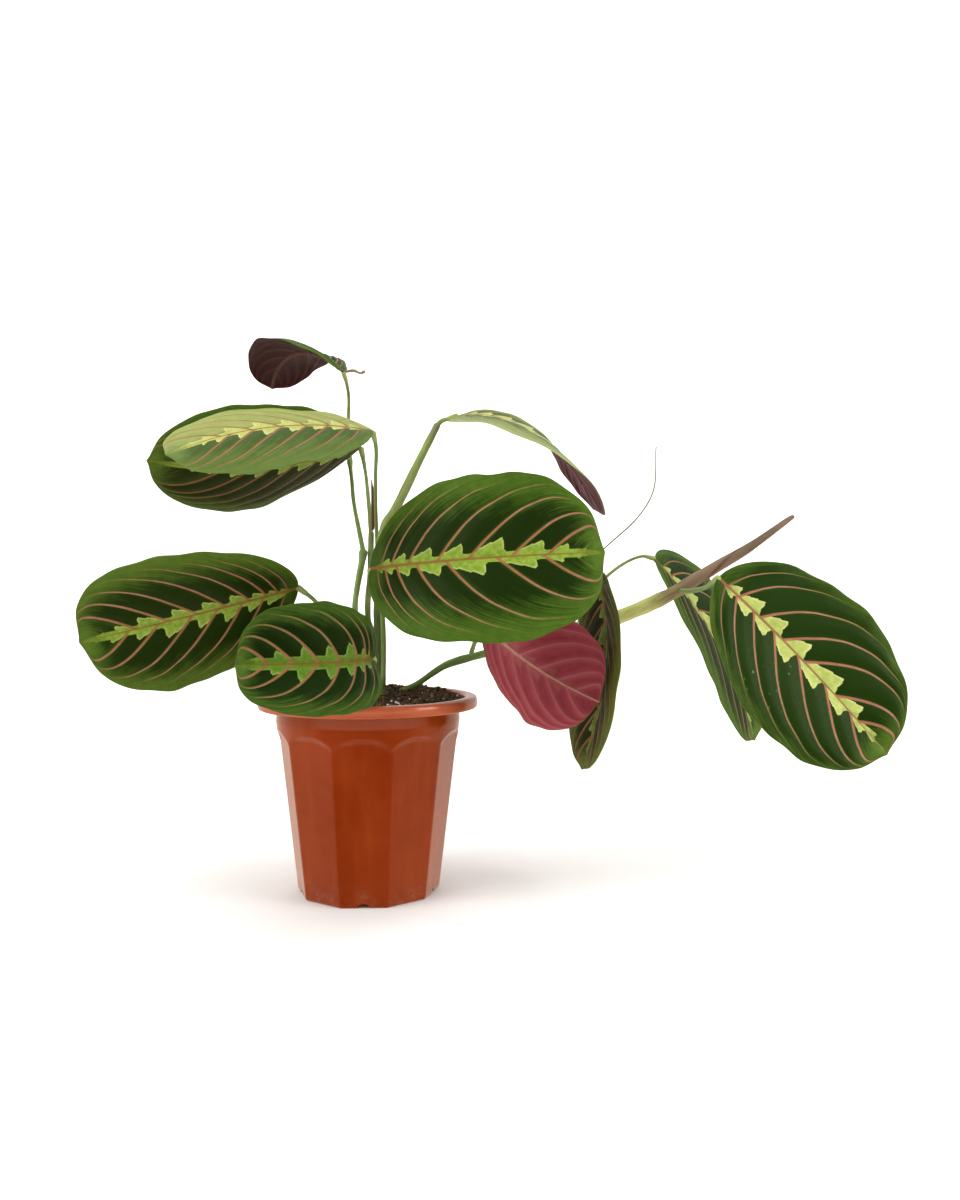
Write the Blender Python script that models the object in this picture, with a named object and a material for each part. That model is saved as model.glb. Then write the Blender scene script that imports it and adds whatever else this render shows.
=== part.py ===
"""Potted prayer plant of the herringbone kind in a ten-sided nursery pot.

Built in metres, +Z up. The origin is the centre of the pot's foot, on the plane it stands on.
The widest spread of the leaves lies along X. Every leaf blade, stalk, stem and sheath is its own solid.
"""

import math

import bmesh
import bpy
import numpy as np

for old in list(bpy.data.objects):
    bpy.data.objects.remove(old, do_unlink=True)

MM = 0.001

# ---------------------------------------------------------------- driving dimensions, in millimetres
GAP = 0.35                  # between pieces that touch

POT_HEIGHT = 109.5
POT_SIDES = 10              # flat panels round the lower body
POT_CORNER_ANGLE = 38.2     # degrees, where the first corner between two panels stands
POT_SEGMENTS = 40           # a multiple of POT_SIDES
POT_WALL = 1.3
POT_FLOOR = 2.0
FOOT_RADIUS = 39.2          # flat part of the foot
BODY_FOOT_RADIUS = 40.2     # corner radius of the body at BODY_FOOT_Z
BODY_FOOT_Z = 3.0
BODY_TOP_RADIUS = 50.3      # corner radius of the body at BODY_TOP_Z
BODY_TOP_Z = 88.0
ARCH_Z = 92.0               # top of each panel's arch, at its middle
ARCH_DROP = 5.0             # how much lower the arch ends at the corners
LEDGE = 4.0                 # height of the slope from the round band down into the panel
BAND_TOP_Z = 101.6
BAND_TOP_RADIUS = 51.3
LIP_RADIUS = 61.5
LIP_BOTTOM_Z = 103.0
MOUTH_RADIUS = 54.4         # inside of the mouth, above the stacking step
NOTCH_COUNT = 5
NOTCH_WIDTH = 8.7
NOTCH_HEIGHT = 2.5

SOIL_EDGE_Z = 107.4
SOIL_HEAP = 3.2             # how much higher the soil is near the back of the mouth

CROWN_X, CROWN_Y = 2.0, 12.0
CROWN_RADIUS = 10.3
CROWN_TOP_Z = 108.9
CROWN_BOTTOM_Z = 90.0

BLADE_THICKNESS = 0.8
BLADE_ROWS = 13             # points along the midrib
BLADE_COLUMNS = 7           # points across

# Each blade: where its base is (x, y, z), the compass heading, pitch and roll of the midrib as it leaves the
# stalk, its length and width, how far it droops, sweeps and twists towards the tip, the fold of its left and
# right half at the midrib, the curl of each half towards the margin, where along it the blade is widest, and
# how full its outline is. Millimetres and degrees.
BLADE_KEYS = ("x y z head pitch roll length width droop sweep twist fold_l fold_r curl_l curl_r belly full").split()
BLADES = {
    "leaf_top_left":         (-19, 35, 300, 175, 45, -54, 78, 48, 111, 16, 11, 60, -25, -37, -18, 0.50, 2.3),
    "leaf_upper_left_back":  (-10, 45, 256, 215, -22, -154, 128, 88, 34, 2, 27, 1, 2, -19, -19, 0.48, 2.0),
    "leaf_upper_left_front": (6, -35, 253, 196, 8, -23, 108, 76, 30, 21, -12, -3, 3, -17, -13, 0.52, 2.4),
    "leaf_left":             (-39, -5, 170, 210, -15, -131, 119, 84, 20, 16, 26, 8, 12, -10, -8, 0.53, 2.3),
    "leaf_front_low":        (8, -50, 133, 247, 0, -91, 79, 61, 61, 1, 10, 32, 19, 6, -1, 0.55, 2.4),
    "leaf_centre":           (4, -30, 180, -34, 5, 75, 129, 91, 47, 10, 3, 8, 10, -12, -9, 0.53, 2.4),
    "leaf_arching":          (50, 0, 267, -36, 4, 29, 107, 73, 102, 13, -45, -4, 8, -13, -5, 0.51, 2.4),
    "leaf_lower_centre":     (62, -36, 153, 45, -40, -106, 84, 69, 57, 15, 23, -6, -5, -24, -20, 0.54, 2.4),
    "leaf_hanging":          (130, -8, 179, -23, -79, 148, 112, 70, -30, -10, -4, 13, 20, -17, -14, 0.50, 2.3),
    "leaf_right_back":       (170, 48, 188, 18, -41, 33, 136, 93, 29, -21, 18, 15, 7, -11, -15, 0.49, 2.3),
    "leaf_right_front":      (187, -45, 175, -4, -43, 59, 127, 89, 7, -4, 20, 10, 9, -9, -10, 0.50, 2.1),
}

# Each stalk or stem: its route through a few points, x, y, z and radius at each, in millimetres.
ROUTES = {
    "stem_left": [(-3.5, 13, 109.3, 1.7), (-4, 12.5, 118, 1.6), (-6, 12, 134, 1.5), (-9, 10, 158, 1.5), (-8, 12, 170, 1.5), (-5.5, 15.5, 186, 1.8), (-5, 16, 190, 2.3)],
    "petiole_top_left": [(-4.9, 16.4, 191.0, 1.3), (-8, 23, 203, 1.1), (-13, 36, 222, 1.0), (-15.5, 47, 236, 1.0), (-17.2, 54, 244, 1.1), (-18, 57, 249, 1.5), (-18.5, 59, 255, 0.9), (-19.3, 60.5, 264, 0.9), (-19, 58, 276, 0.9), (-17.8, 50, 288, 0.9), (-18.2, 40, 296, 0.9), (-18.8, 36.2, 298.4, 1.0)],
    "stem_middle": [(1.5, 18, 109.3, 1.6), (1, 18.2, 118, 1.5), (-0.5, 18, 134, 1.5), (-2.5, 17, 158, 1.5), (-1, 17, 178, 1.5), (-0.5, 18, 201, 1.5)],
    "petiole_upper_left_back": [(-0.7, 18.6, 201.8, 1.1), (-3, 28, 219, 1.0), (-6.5, 40, 241, 0.9), (-9.5, 45, 254.5, 1.2)],
    "petiole_upper_left_front": [(3.1, 14.8, 196, 0.9), (3.2, 12, 204, 0.9), (3.6, 4, 218, 0.9), (5, -10, 232, 0.9), (7, -26, 245, 0.9), (6.4, -34.2, 251.6, 1.1)],
    "sheath_reddish": [(0.9, 13.8, 205, 0.9), (1.4, 12.5, 214, 1.3), (1.2, 10.5, 224, 1.0), (0.6, 9.5, 232, 0.3)],
    "stem_arching": [(5.5, 12.5, 109.3, 2.7), (5.2, 12, 125, 2.6), (4.5, 10.5, 147, 2.5), (4.5, 9, 163, 2.4), (5.5, 7, 186, 2.4), (9, 4.5, 205, 2.5), (14.5, 3, 214, 2.4), (29, 1, 243, 2.0), (38.3, 0, 261, 1.7)],
    "petiole_arching": [(38.7, 0, 261.7, 1.2), (41.5, 0, 264.3, 1.1), (45, 0, 265.4, 1.0), (49.2, 0, 266.8, 1.1)],
    "petiole_left": [(-3.0, 8, 109.3, 1.2), (-3.8, 7.4, 114, 1.1), (-10, 2, 127, 1.0), (-21, -3, 152, 1.0), (-30, -5, 163, 1.0), (-38.3, -5.2, 169.6, 1.2)],
    "petiole_front_low": [(2.0, 5.5, 109.4, 1.4), (2.0, 5.1, 111.5, 1.3), (4, -8, 119, 1.2), (6.5, -30, 127, 1.1), (7.8, -49, 132.6, 1.3)],
    "petiole_centre": [(7.0, 6.2, 109.3, 1.4), (7.6, 5.2, 116, 1.3), (8.6, -2, 141, 1.2), (8.3, -16, 164, 1.2), (4.6, -29, 178.9, 1.4)],
    "shoot_right": [(13.8, 20, 105.8, 2.3), (18, 20.4, 109.6, 2.2), (26, 22, 113.5, 2.1), (34, 24, 119, 2.1), (42, 25.5, 124, 2.5), (51, 27, 127.2, 2.9), (60, 28, 129.5, 2.4), (75, 29, 133.5, 2.5), (95, 31, 138.6, 3.2), (117, 32, 144, 4.0), (135, 30, 149, 4.3), (155, 22, 157, 4.3), (169, 14.5, 164, 4.1), (179, 9, 169.7, 3.7)],
    "rolled_new_leaf": [(179.8, 8.6, 170.3, 3.6), (189, 5, 176.5, 3.4), (199, 2, 183, 3.0), (209, 0, 189, 2.6), (219, -2, 195.5, 2.1), (229, -4, 203, 1.5), (236, -5.6, 208.3, 0.9), (238.5, -6, 210, 0.35)],
    "petiole_lower_centre": [(58, 23.4, 132.4, 1.2), (59, 18, 135.5, 1.1), (61.5, 0, 144, 1.1), (62, -20, 150, 1.1), (61.6, -34, 151.6, 1.2)],
    "petiole_hanging": [(112, 26.8, 147.4, 1.2), (115, 23, 156, 1.1), (120, 13, 170, 1.0), (125.5, 0, 179.5, 1.0), (129.3, -6.6, 181.2, 1.1)],
    "petiole_right_back": [(123, 36.8, 150, 1.1), (127, 39, 160, 0.9), (136, 42, 173, 0.8), (150, 44, 184.5, 0.8), (162, 46, 189.5, 0.8), (169.2, 47.6, 188.4, 1.0)],
    "petiole_right_front": [(178.3, 3.5, 168.2, 1.3), (181, -6, 168.2, 1.2), (185, -24, 170, 1.1), (186.8, -44, 174.4, 1.3)],
    "flower_stalk": [(84, 25.8, 138.6, 0.4), (98, 19, 158, 0.35), (118, 14, 177, 0.35), (136, 10, 194, 0.35), (154, 8, 211, 0.35), (162.5, 8, 226, 0.35), (164, 8, 251, 0.3)],
    "withered_tail": [(-17.6, 36.4, 300.3, 0.8), (-13, 37, 301, 1.0), (-9, 37, 299.5, 0.8), (-6.8, 37, 300.4, 1.1)],
}

# Colour (linear RGB) and roughness of each kind of piece.
LOOKS = {
    "pot": ((0.36, 0.075, 0.02), 0.25),
    "soil": ((0.030, 0.018, 0.011), 0.9),
    "crown": ((0.10, 0.06, 0.03), 0.7),
    "blade": ((0.018, 0.075, 0.010), 0.4),
    "stem": ((0.14, 0.27, 0.06), 0.45),
    "shoot": ((0.25, 0.38, 0.09), 0.4),
    "spear": ((0.22, 0.09, 0.065), 0.5),
    "sheath": ((0.16, 0.05, 0.03), 0.5),
    "thread": ((0.28, 0.24, 0.12), 0.6),
}


def finish(obj, look):
    """Gives the object its own material, and shades it smooth except across hard edges."""
    colour, roughness = LOOKS[look]
    material = bpy.data.materials.new(obj.name)
    material.use_nodes = True
    shader = material.node_tree.nodes["Principled BSDF"]
    shader.inputs["Base Color"].default_value = (*colour, 1.0)
    shader.inputs["Roughness"].default_value = roughness
    shader.inputs["Metallic"].default_value = 0.0
    obj.data.materials.append(material)
    if obj.type == "MESH":
        obj.data.shade_smooth()
        obj.data.set_sharp_from_angle(angle=math.radians(40))
    return obj


def add_mesh(name, points, faces):
    """A mesh object from points in millimetres."""
    mesh = bpy.data.meshes.new(name)
    mesh.from_pydata([tuple(np.asarray(p, float) * MM) for p in points], [], faces)
    obj = bpy.data.objects.new(name, mesh)
    bpy.context.scene.collection.objects.link(obj)
    return obj


def turned(name, rings, low, high):
    """A closed solid from a stack of rings, each an array of points, with a point that closes each end."""
    count = len(rings[0])
    points = [p for ring in rings for p in ring] + [low, high]
    faces = []
    for k in range(len(rings) - 1):
        for i in range(count):
            j = (i + 1) % count
            a, b, c, d = k * count + i, k * count + j, (k + 1) * count + j, (k + 1) * count + i
            # Both ways up, the quad is split from its lower first corner, so that nested walls keep their gap.
            if rings[k][0][2] <= rings[k + 1][0][2]:
                faces += [(a, b, c), (a, c, d)]
            else:
                faces += [(a, b, d), (b, c, d)]
    last = (len(rings) - 1) * count
    for i in range(count):
        j = (i + 1) % count
        faces.append((j, i, len(points) - 2))
        faces.append((last + i, last + j, len(points) - 1))
    return add_mesh(name, points, faces)


# ---------------------------------------------------------------- pot

ANGLES = [math.radians(POT_CORNER_ANGLE + 360.0 * i / POT_SEGMENTS) for i in range(POT_SEGMENTS)]


def smooth(x):
    x = min(max(x, 0.0), 1.0)
    return x * x * (3 - 2 * x)


def body_radius(angle, z, inset=0.0):
    """Outer radius of the pot's body at this angle and height, less the inset."""
    half = math.pi / POT_SIDES
    off = (angle - math.radians(POT_CORNER_ANGLE)) % (2 * half) - half  # from the middle of the panel
    corner = BODY_FOOT_RADIUS + (BODY_TOP_RADIUS - BODY_FOOT_RADIUS) * (z - BODY_FOOT_Z) / (BODY_TOP_Z - BODY_FOOT_Z)
    panel = (corner - inset) * math.cos(half) / math.cos(off)
    band = corner - inset + 0.3
    arch = ARCH_Z - ARCH_DROP * (abs(off) / half) ** 2.5
    into_panel = smooth((arch - z) / LEDGE)
    return band + (panel - band) * into_panel


def ring(radius_of, z):
    return [(radius_of(a) * math.cos(a), radius_of(a) * math.sin(a), z) for a in ANGLES]


def plain_ring(radius, z):
    return ring(lambda a: radius, z)


def foot_ring(radius, z):
    """A ring with ten flat sides, its corners at the radius."""
    half = math.pi / POT_SIDES

    def at(a):
        off = (a - math.radians(POT_CORNER_ANGLE)) % (2 * half) - half
        return radius * math.cos(half) / math.cos(off)

    return ring(at, z)


OUTER_LEVELS = [BODY_FOOT_Z, 45.0, 80.0, 83.5, 86.0, 88.0, 90.0, 92.0, 96.0]
INNER_LEVELS = [92.0, 90.0, 88.0, 86.0, 83.5, 80.0, 45.0]


def body_ring(z, inset=0.0):
    return ring(lambda a: body_radius(a, z, inset), z)


outside = [foot_ring(FOOT_RADIUS, 0.0), foot_ring(FOOT_RADIUS + 0.8, 0.9)]
outside += [body_ring(z) for z in OUTER_LEVELS]
lip = [
    (BAND_TOP_RADIUS, BAND_TOP_Z),
    (MOUTH_RADIUS + 1.3, BAND_TOP_Z + 2.6),
    (MOUTH_RADIUS + 1.5, 106.4),
    (MOUTH_RADIUS + 2.7, 107.9),
    (LIP_RADIUS - 2.2, 107.5),
    (LIP_RADIUS - 1.5, 105.0),
    (LIP_RADIUS - 1.4, LIP_BOTTOM_Z),
    (LIP_RADIUS - 0.4, LIP_BOTTOM_Z),
    (LIP_RADIUS, LIP_BOTTOM_Z + 1.0),
    (LIP_RADIUS, POT_HEIGHT - 1.7),
    (LIP_RADIUS - 1.0, POT_HEIGHT - 0.4),
    (LIP_RADIUS - 3.3, POT_HEIGHT),
    (MOUTH_RADIUS + 1.0, POT_HEIGHT - 0.3),
    (MOUTH_RADIUS, POT_HEIGHT - 1.5),
    (MOUTH_RADIUS - 0.4, BAND_TOP_Z + 2.6),
    (BAND_TOP_RADIUS - POT_WALL - 0.3, BAND_TOP_Z - 0.4),
]
inside = [body_ring(z, POT_WALL) for z in INNER_LEVELS]
inside += [foot_ring(FOOT_RADIUS + 0.6 - POT_WALL, POT_FLOOR + 0.8), foot_ring(FOOT_RADIUS - 0.6 - POT_WALL, POT_FLOOR)]
pot = turned("pot", outside + [plain_ring(r, z) for r, z in lip] + inside, (0, 0, 0), (0, 0, POT_FLOOR))
finish(pot, "pot")


def cutter(obj, target):
    """Cuts the target with this object, which isn't itself a piece."""
    obj.hide_render = True
    obj.display_type = "WIRE"
    cut = target.modifiers.new("cut_" + obj.name, "BOOLEAN")
    cut.operation = "DIFFERENCE"
    cut.solver = "EXACT"
    cut.object = obj


# Drain notches: a low arch through the corner of the foot, in the middle of every second panel.
notch_radius = (NOTCH_WIDTH**2 / 4 + NOTCH_HEIGHT**2) / (2 * NOTCH_HEIGHT)
for k in range(NOTCH_COUNT):
    a = math.radians(POT_CORNER_ANGLE + 180.0 / POT_SIDES + 360.0 * k / NOTCH_COUNT + 216.0)
    bm = bmesh.new()
    bmesh.ops.create_cone(bm, cap_ends=True, segments=16, radius1=notch_radius * MM, radius2=notch_radius * MM, depth=12 * MM)
    mesh = bpy.data.meshes.new(f"notch_{k}")
    bm.to_mesh(mesh)
    bm.free()
    notch = bpy.data.objects.new(f"notch_{k}", mesh)
    bpy.context.scene.collection.objects.link(notch)
    notch.location = (38.5 * MM * math.cos(a), 38.5 * MM * math.sin(a), (NOTCH_HEIGHT - notch_radius) * MM)
    notch.rotation_euler = (0, math.radians(90), a)
    cutter(notch, pot)


# ---------------------------------------------------------------- soil

def soil_height(x, y):
    """Height of the soil: gently uneven, and heaped near the back of the mouth."""
    r = math.hypot(x, y) / MOUTH_RADIUS
    back = smooth((y + 10.0) / 45.0) * (1 - smooth((r - 0.86) / 0.14))
    bumps = 0.35 * math.sin(0.21 * x + 0.8) * math.cos(0.17 * y - 0.4) + 0.2 * math.sin(0.5 * x - 0.37 * y)
    return SOIL_EDGE_Z + SOIL_HEAP * back + bumps * (1 - smooth((r - 0.8) / 0.2))


def soil_ring(radius, z=None):
    found = []
    for a in ANGLES:
        x, y = radius * math.cos(a), radius * math.sin(a)
        found.append((x, y, soil_height(x, y) if z is None else z))
    return found


SOIL_SLACK = GAP + 0.05
soil_rings = [foot_ring(FOOT_RADIUS - 1.0 - POT_WALL - SOIL_SLACK, POT_FLOOR + GAP), foot_ring(FOOT_RADIUS + 0.4 - POT_WALL - SOIL_SLACK, POT_FLOOR + 1.3)]
soil_rings += [body_ring(z, POT_WALL + SOIL_SLACK) for z in reversed(INNER_LEVELS)]
soil_rings += [plain_ring(BAND_TOP_RADIUS - POT_WALL - 0.3 - SOIL_SLACK, BAND_TOP_Z - 0.4 + 0.2), plain_ring(MOUTH_RADIUS - 0.4 - SOIL_SLACK - 0.2, BAND_TOP_Z + 3.0)]
soil_rings += [soil_ring(MOUTH_RADIUS - 0.3 - SOIL_SLACK), soil_ring(51.0), soil_ring(45.0), soil_ring(36.0), soil_ring(26.0), soil_ring(15.0)]
soil = turned("potting_soil", soil_rings, (0, 0, POT_FLOOR + GAP), (0, 0, soil_height(0, 0)))
finish(soil, "soil")


def crown_rings(grow, top):
    """The rhizome's stack of rings: a squat knob that narrows downwards."""
    depth = CROWN_TOP_Z - CROWN_BOTTOM_Z
    profile = [(0.35, 0.0), (0.75, 0.22), (0.98, 0.55), (1.0, 0.80), (0.95, 0.93), (0.84, 1.0)]
    rings = []
    for share, level in profile:
        z = CROWN_BOTTOM_Z - grow + (depth + grow) * level
        if level == 1.0:
            z = top
        found = []
        for i in range(16):
            a = 2 * math.pi * i / 16
            lump = 1 + 0.05 * math.sin(3 * a + 0.5) + 0.03 * math.sin(5 * a)
            r = CROWN_RADIUS * share * lump + grow
            found.append((CROWN_X + r * math.cos(a), CROWN_Y + 0.95 * r * math.sin(a), z))
        rings.append(found)
    return rings


crown = turned("rhizome", crown_rings(0.0, CROWN_TOP_Z), (CROWN_X, CROWN_Y, CROWN_BOTTOM_Z), (CROWN_X, CROWN_Y, CROWN_TOP_Z))
finish(crown, "crown")
pit = turned("pit", crown_rings(GAP, CROWN_TOP_Z + 6), (CROWN_X, CROWN_Y, CROWN_BOTTOM_Z - GAP), (CROWN_X, CROWN_Y, CROWN_TOP_Z + 6))
cutter(pit, soil)


# ---------------------------------------------------------------- stems and stalks

def through(points, steps):
    """A smooth curve through the points: centripetal Catmull-Rom, with the radius carried along."""
    p = np.asarray(points, float)
    p = np.vstack([2 * p[0] - p[1], p, 2 * p[-1] - p[-2]])
    found = []
    for i in range(1, len(p) - 2):
        t = [0.0]
        for a, b in ((i - 1, i), (i, i + 1), (i + 1, i + 2)):
            t.append(t[-1] + max(np.linalg.norm(p[b, :3] - p[a, :3]), 1e-6) ** 0.5)
        for u in np.linspace(t[1], t[2], steps, endpoint=False):
            a1 = (t[1] - u) / (t[1] - t[0]) * p[i - 1] + (u - t[0]) / (t[1] - t[0]) * p[i]
            a2 = (t[2] - u) / (t[2] - t[1]) * p[i] + (u - t[1]) / (t[2] - t[1]) * p[i + 1]
            a3 = (t[3] - u) / (t[3] - t[2]) * p[i + 1] + (u - t[2]) / (t[3] - t[2]) * p[i + 2]
            b1 = (t[2] - u) / (t[2] - t[0]) * a1 + (u - t[0]) / (t[2] - t[0]) * a2
            b2 = (t[3] - u) / (t[3] - t[1]) * a2 + (u - t[1]) / (t[3] - t[1]) * a3
            found.append((t[2] - u) / (t[2] - t[1]) * b1 + (u - t[1]) / (t[2] - t[1]) * b2)
    found.append(p[-2])
    return np.array(found)


def stalk(name, route, look, thick, steps=2):
    """A stem: a curve object with a round bevel, its radius following the route, its ends filled."""
    path = through(route, steps)
    curve = bpy.data.curves.new(name, "CURVE")
    curve.dimensions = "3D"
    curve.bevel_depth = MM
    curve.bevel_resolution = 2 if thick else 1
    curve.use_fill_caps = True
    curve.twist_mode = "MINIMUM"
    spline = curve.splines.new("POLY")
    spline.points.add(len(path) - 1)
    for point, (x, y, z, r) in zip(spline.points, path):
        point.co = (x * MM, y * MM, z * MM, 1.0)
        point.radius = r
    spline.use_smooth = True
    obj = bpy.data.objects.new(name, curve)
    bpy.context.scene.collection.objects.link(obj)
    return finish(obj, look)


THICK = {"stem_left", "stem_middle", "stem_arching", "shoot_right", "rolled_new_leaf"}
KINDS = {"shoot_right": "shoot", "rolled_new_leaf": "spear", "sheath_reddish": "sheath", "flower_stalk": "thread", "withered_tail": "thread"}
for name, route in ROUTES.items():
    stalk(name, route, KINDS.get(name, "stem"), name in THICK)

# The hole in the soil that the right shoot comes out of.
hole = stalk("hole", [(13.0, 19.9, 105.0, 2.8), (13.8, 20, 105.8, 2.8), (18, 20.4, 109.6, 2.75), (26, 22, 113.5, 2.7)], "shoot", True, 2)
graph = bpy.context.evaluated_depsgraph_get()
hole_mesh = bpy.data.meshes.new_from_object(hole.evaluated_get(graph))
bpy.data.objects.remove(hole, do_unlink=True)
bm = bmesh.new()
bm.from_mesh(hole_mesh)
bmesh.ops.remove_doubles(bm, verts=bm.verts, dist=1e-6)
bmesh.ops.recalc_face_normals(bm, faces=bm.faces)
bm.to_mesh(hole_mesh)
bm.free()
hole = bpy.data.objects.new("shoot_hole", hole_mesh)
bpy.context.scene.collection.objects.link(hole)
cutter(hole, soil)


# ---------------------------------------------------------------- leaf blades

def turn(axis, degrees):
    c, s = math.cos(math.radians(degrees)), math.sin(math.radians(degrees))
    return np.array({"x": [[1, 0, 0], [0, c, -s], [0, s, c]], "y": [[c, 0, s], [0, 1, 0], [-s, 0, c]], "z": [[c, -s, 0], [s, c, 0], [0, 0, 1]]}[axis])


def across(fold, curl, share):
    """How far out and up the blade's cross-section reaches at this share of its half width."""
    f, c = math.radians(fold), math.radians(curl)
    if abs(c) < 1e-6:
        return share * math.cos(f), share * math.sin(f)
    return (math.sin(f + c * share) - math.sin(f)) / c, (math.cos(f) - math.cos(f + c * share)) / c


def blade_points(values, along, sideways):
    """The blade's middle surface: an array of points, along the midrib by across it. Millimetres."""
    b = dict(zip(BLADE_KEYS, values))
    world = turn("z", b["head"]) @ turn("y", -b["pitch"]) @ turn("x", b["roll"])
    fine = np.linspace(0, 1, 201)
    frames = np.array([turn("y", b["droop"] * s) @ turn("z", b["sweep"] * s) @ turn("x", b["twist"] * s) for s in fine])
    ahead = frames[:, :, 0]
    spine = np.vstack([[0, 0, 0], np.cumsum((ahead[1:] + ahead[:-1]) / 2 * b["length"] / 200, axis=0)])
    rows = []
    for s in along:
        frame = turn("y", b["droop"] * s) @ turn("z", b["sweep"] * s) @ turn("x", b["twist"] * s)
        centre = np.array([np.interp(s, fine, spine[:, i]) for i in range(3)])
        q = 2 * s ** (math.log(0.5) / math.log(b["belly"])) - 1 if s > 0 else -1.0
        half = max(1 - abs(q) ** b["full"], 0.0) ** (1 / (0.87 * b["full"])) * b["width"] / 2
        row = []
        for t in sideways:
            out, up = across(b["fold_l"] if t > 0 else b["fold_r"], b["curl_l"] if t > 0 else b["curl_r"], abs(t))
            row.append(centre + frame @ np.array([0, math.copysign(out * half, t) if t else 0.0, up * half]))
        rows.append(row)
    return np.array(rows) @ world.T + np.array([b["x"], b["y"], b["z"]])


for name, values in BLADES.items():
    along = [(1 - math.cos(math.pi * i / (BLADE_ROWS - 1))) / 2 for i in range(BLADE_ROWS)]
    sideways = np.linspace(-1, 1, BLADE_COLUMNS)
    grid = blade_points(values, along, sideways)
    n, m = BLADE_ROWS - 2, BLADE_COLUMNS
    points = [grid[0, m // 2]] + [p for row in grid[1:-1] for p in row] + [grid[-1, m // 2]]
    at = lambda i, j: 1 + i * m + j
    faces = []
    for j in range(m - 1):
        faces.append((0, at(0, j), at(0, j + 1)))
        faces.append((at(n - 1, j + 1), at(n - 1, j), len(points) - 1))
        for i in range(n - 1):
            faces.append((at(i, j), at(i + 1, j), at(i + 1, j + 1), at(i, j + 1)))
    blade = add_mesh(name, points, faces)
    finish(blade, "blade")
    shell = blade.modifiers.new("thickness", "SOLIDIFY")
    shell.thickness = BLADE_THICKNESS * MM
    shell.offset = 0.0
    shell.use_even_offset = False
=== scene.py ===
"""Looks of the potted prayer plant: patterned leaf blades, fleshy stalks, a glossy ten-sided nursery pot and loose soil.

Every visual piece follows the CAD frame. Lengths in the tables are millimetres and angles are degrees.
"""

import math

import bmesh
import bpy
import numpy as np
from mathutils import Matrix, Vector


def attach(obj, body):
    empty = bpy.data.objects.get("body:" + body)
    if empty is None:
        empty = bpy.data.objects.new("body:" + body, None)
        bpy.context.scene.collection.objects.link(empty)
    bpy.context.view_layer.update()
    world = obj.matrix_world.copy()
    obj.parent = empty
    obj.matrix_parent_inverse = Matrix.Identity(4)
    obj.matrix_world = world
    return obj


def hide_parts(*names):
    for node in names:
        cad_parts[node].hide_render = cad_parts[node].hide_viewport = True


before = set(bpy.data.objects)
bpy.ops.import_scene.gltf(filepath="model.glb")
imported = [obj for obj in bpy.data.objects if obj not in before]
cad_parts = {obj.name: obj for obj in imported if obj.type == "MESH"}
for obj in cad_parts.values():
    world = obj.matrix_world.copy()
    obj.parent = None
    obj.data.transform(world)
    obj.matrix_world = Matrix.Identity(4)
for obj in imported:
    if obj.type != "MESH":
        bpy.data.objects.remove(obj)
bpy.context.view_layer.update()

MM = 0.001
LINK = bpy.context.scene.collection.objects.link


# ------------------------------------------------------------------ small shader language


def srgb(r, g, b):
    """Linear colour from 0-255 display values."""
    return tuple((v / 255 / 12.92) if v <= 10 else ((v / 255 + 0.055) / 1.055) ** 2.4 for v in (r, g, b)) + (1.0,)


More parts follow.
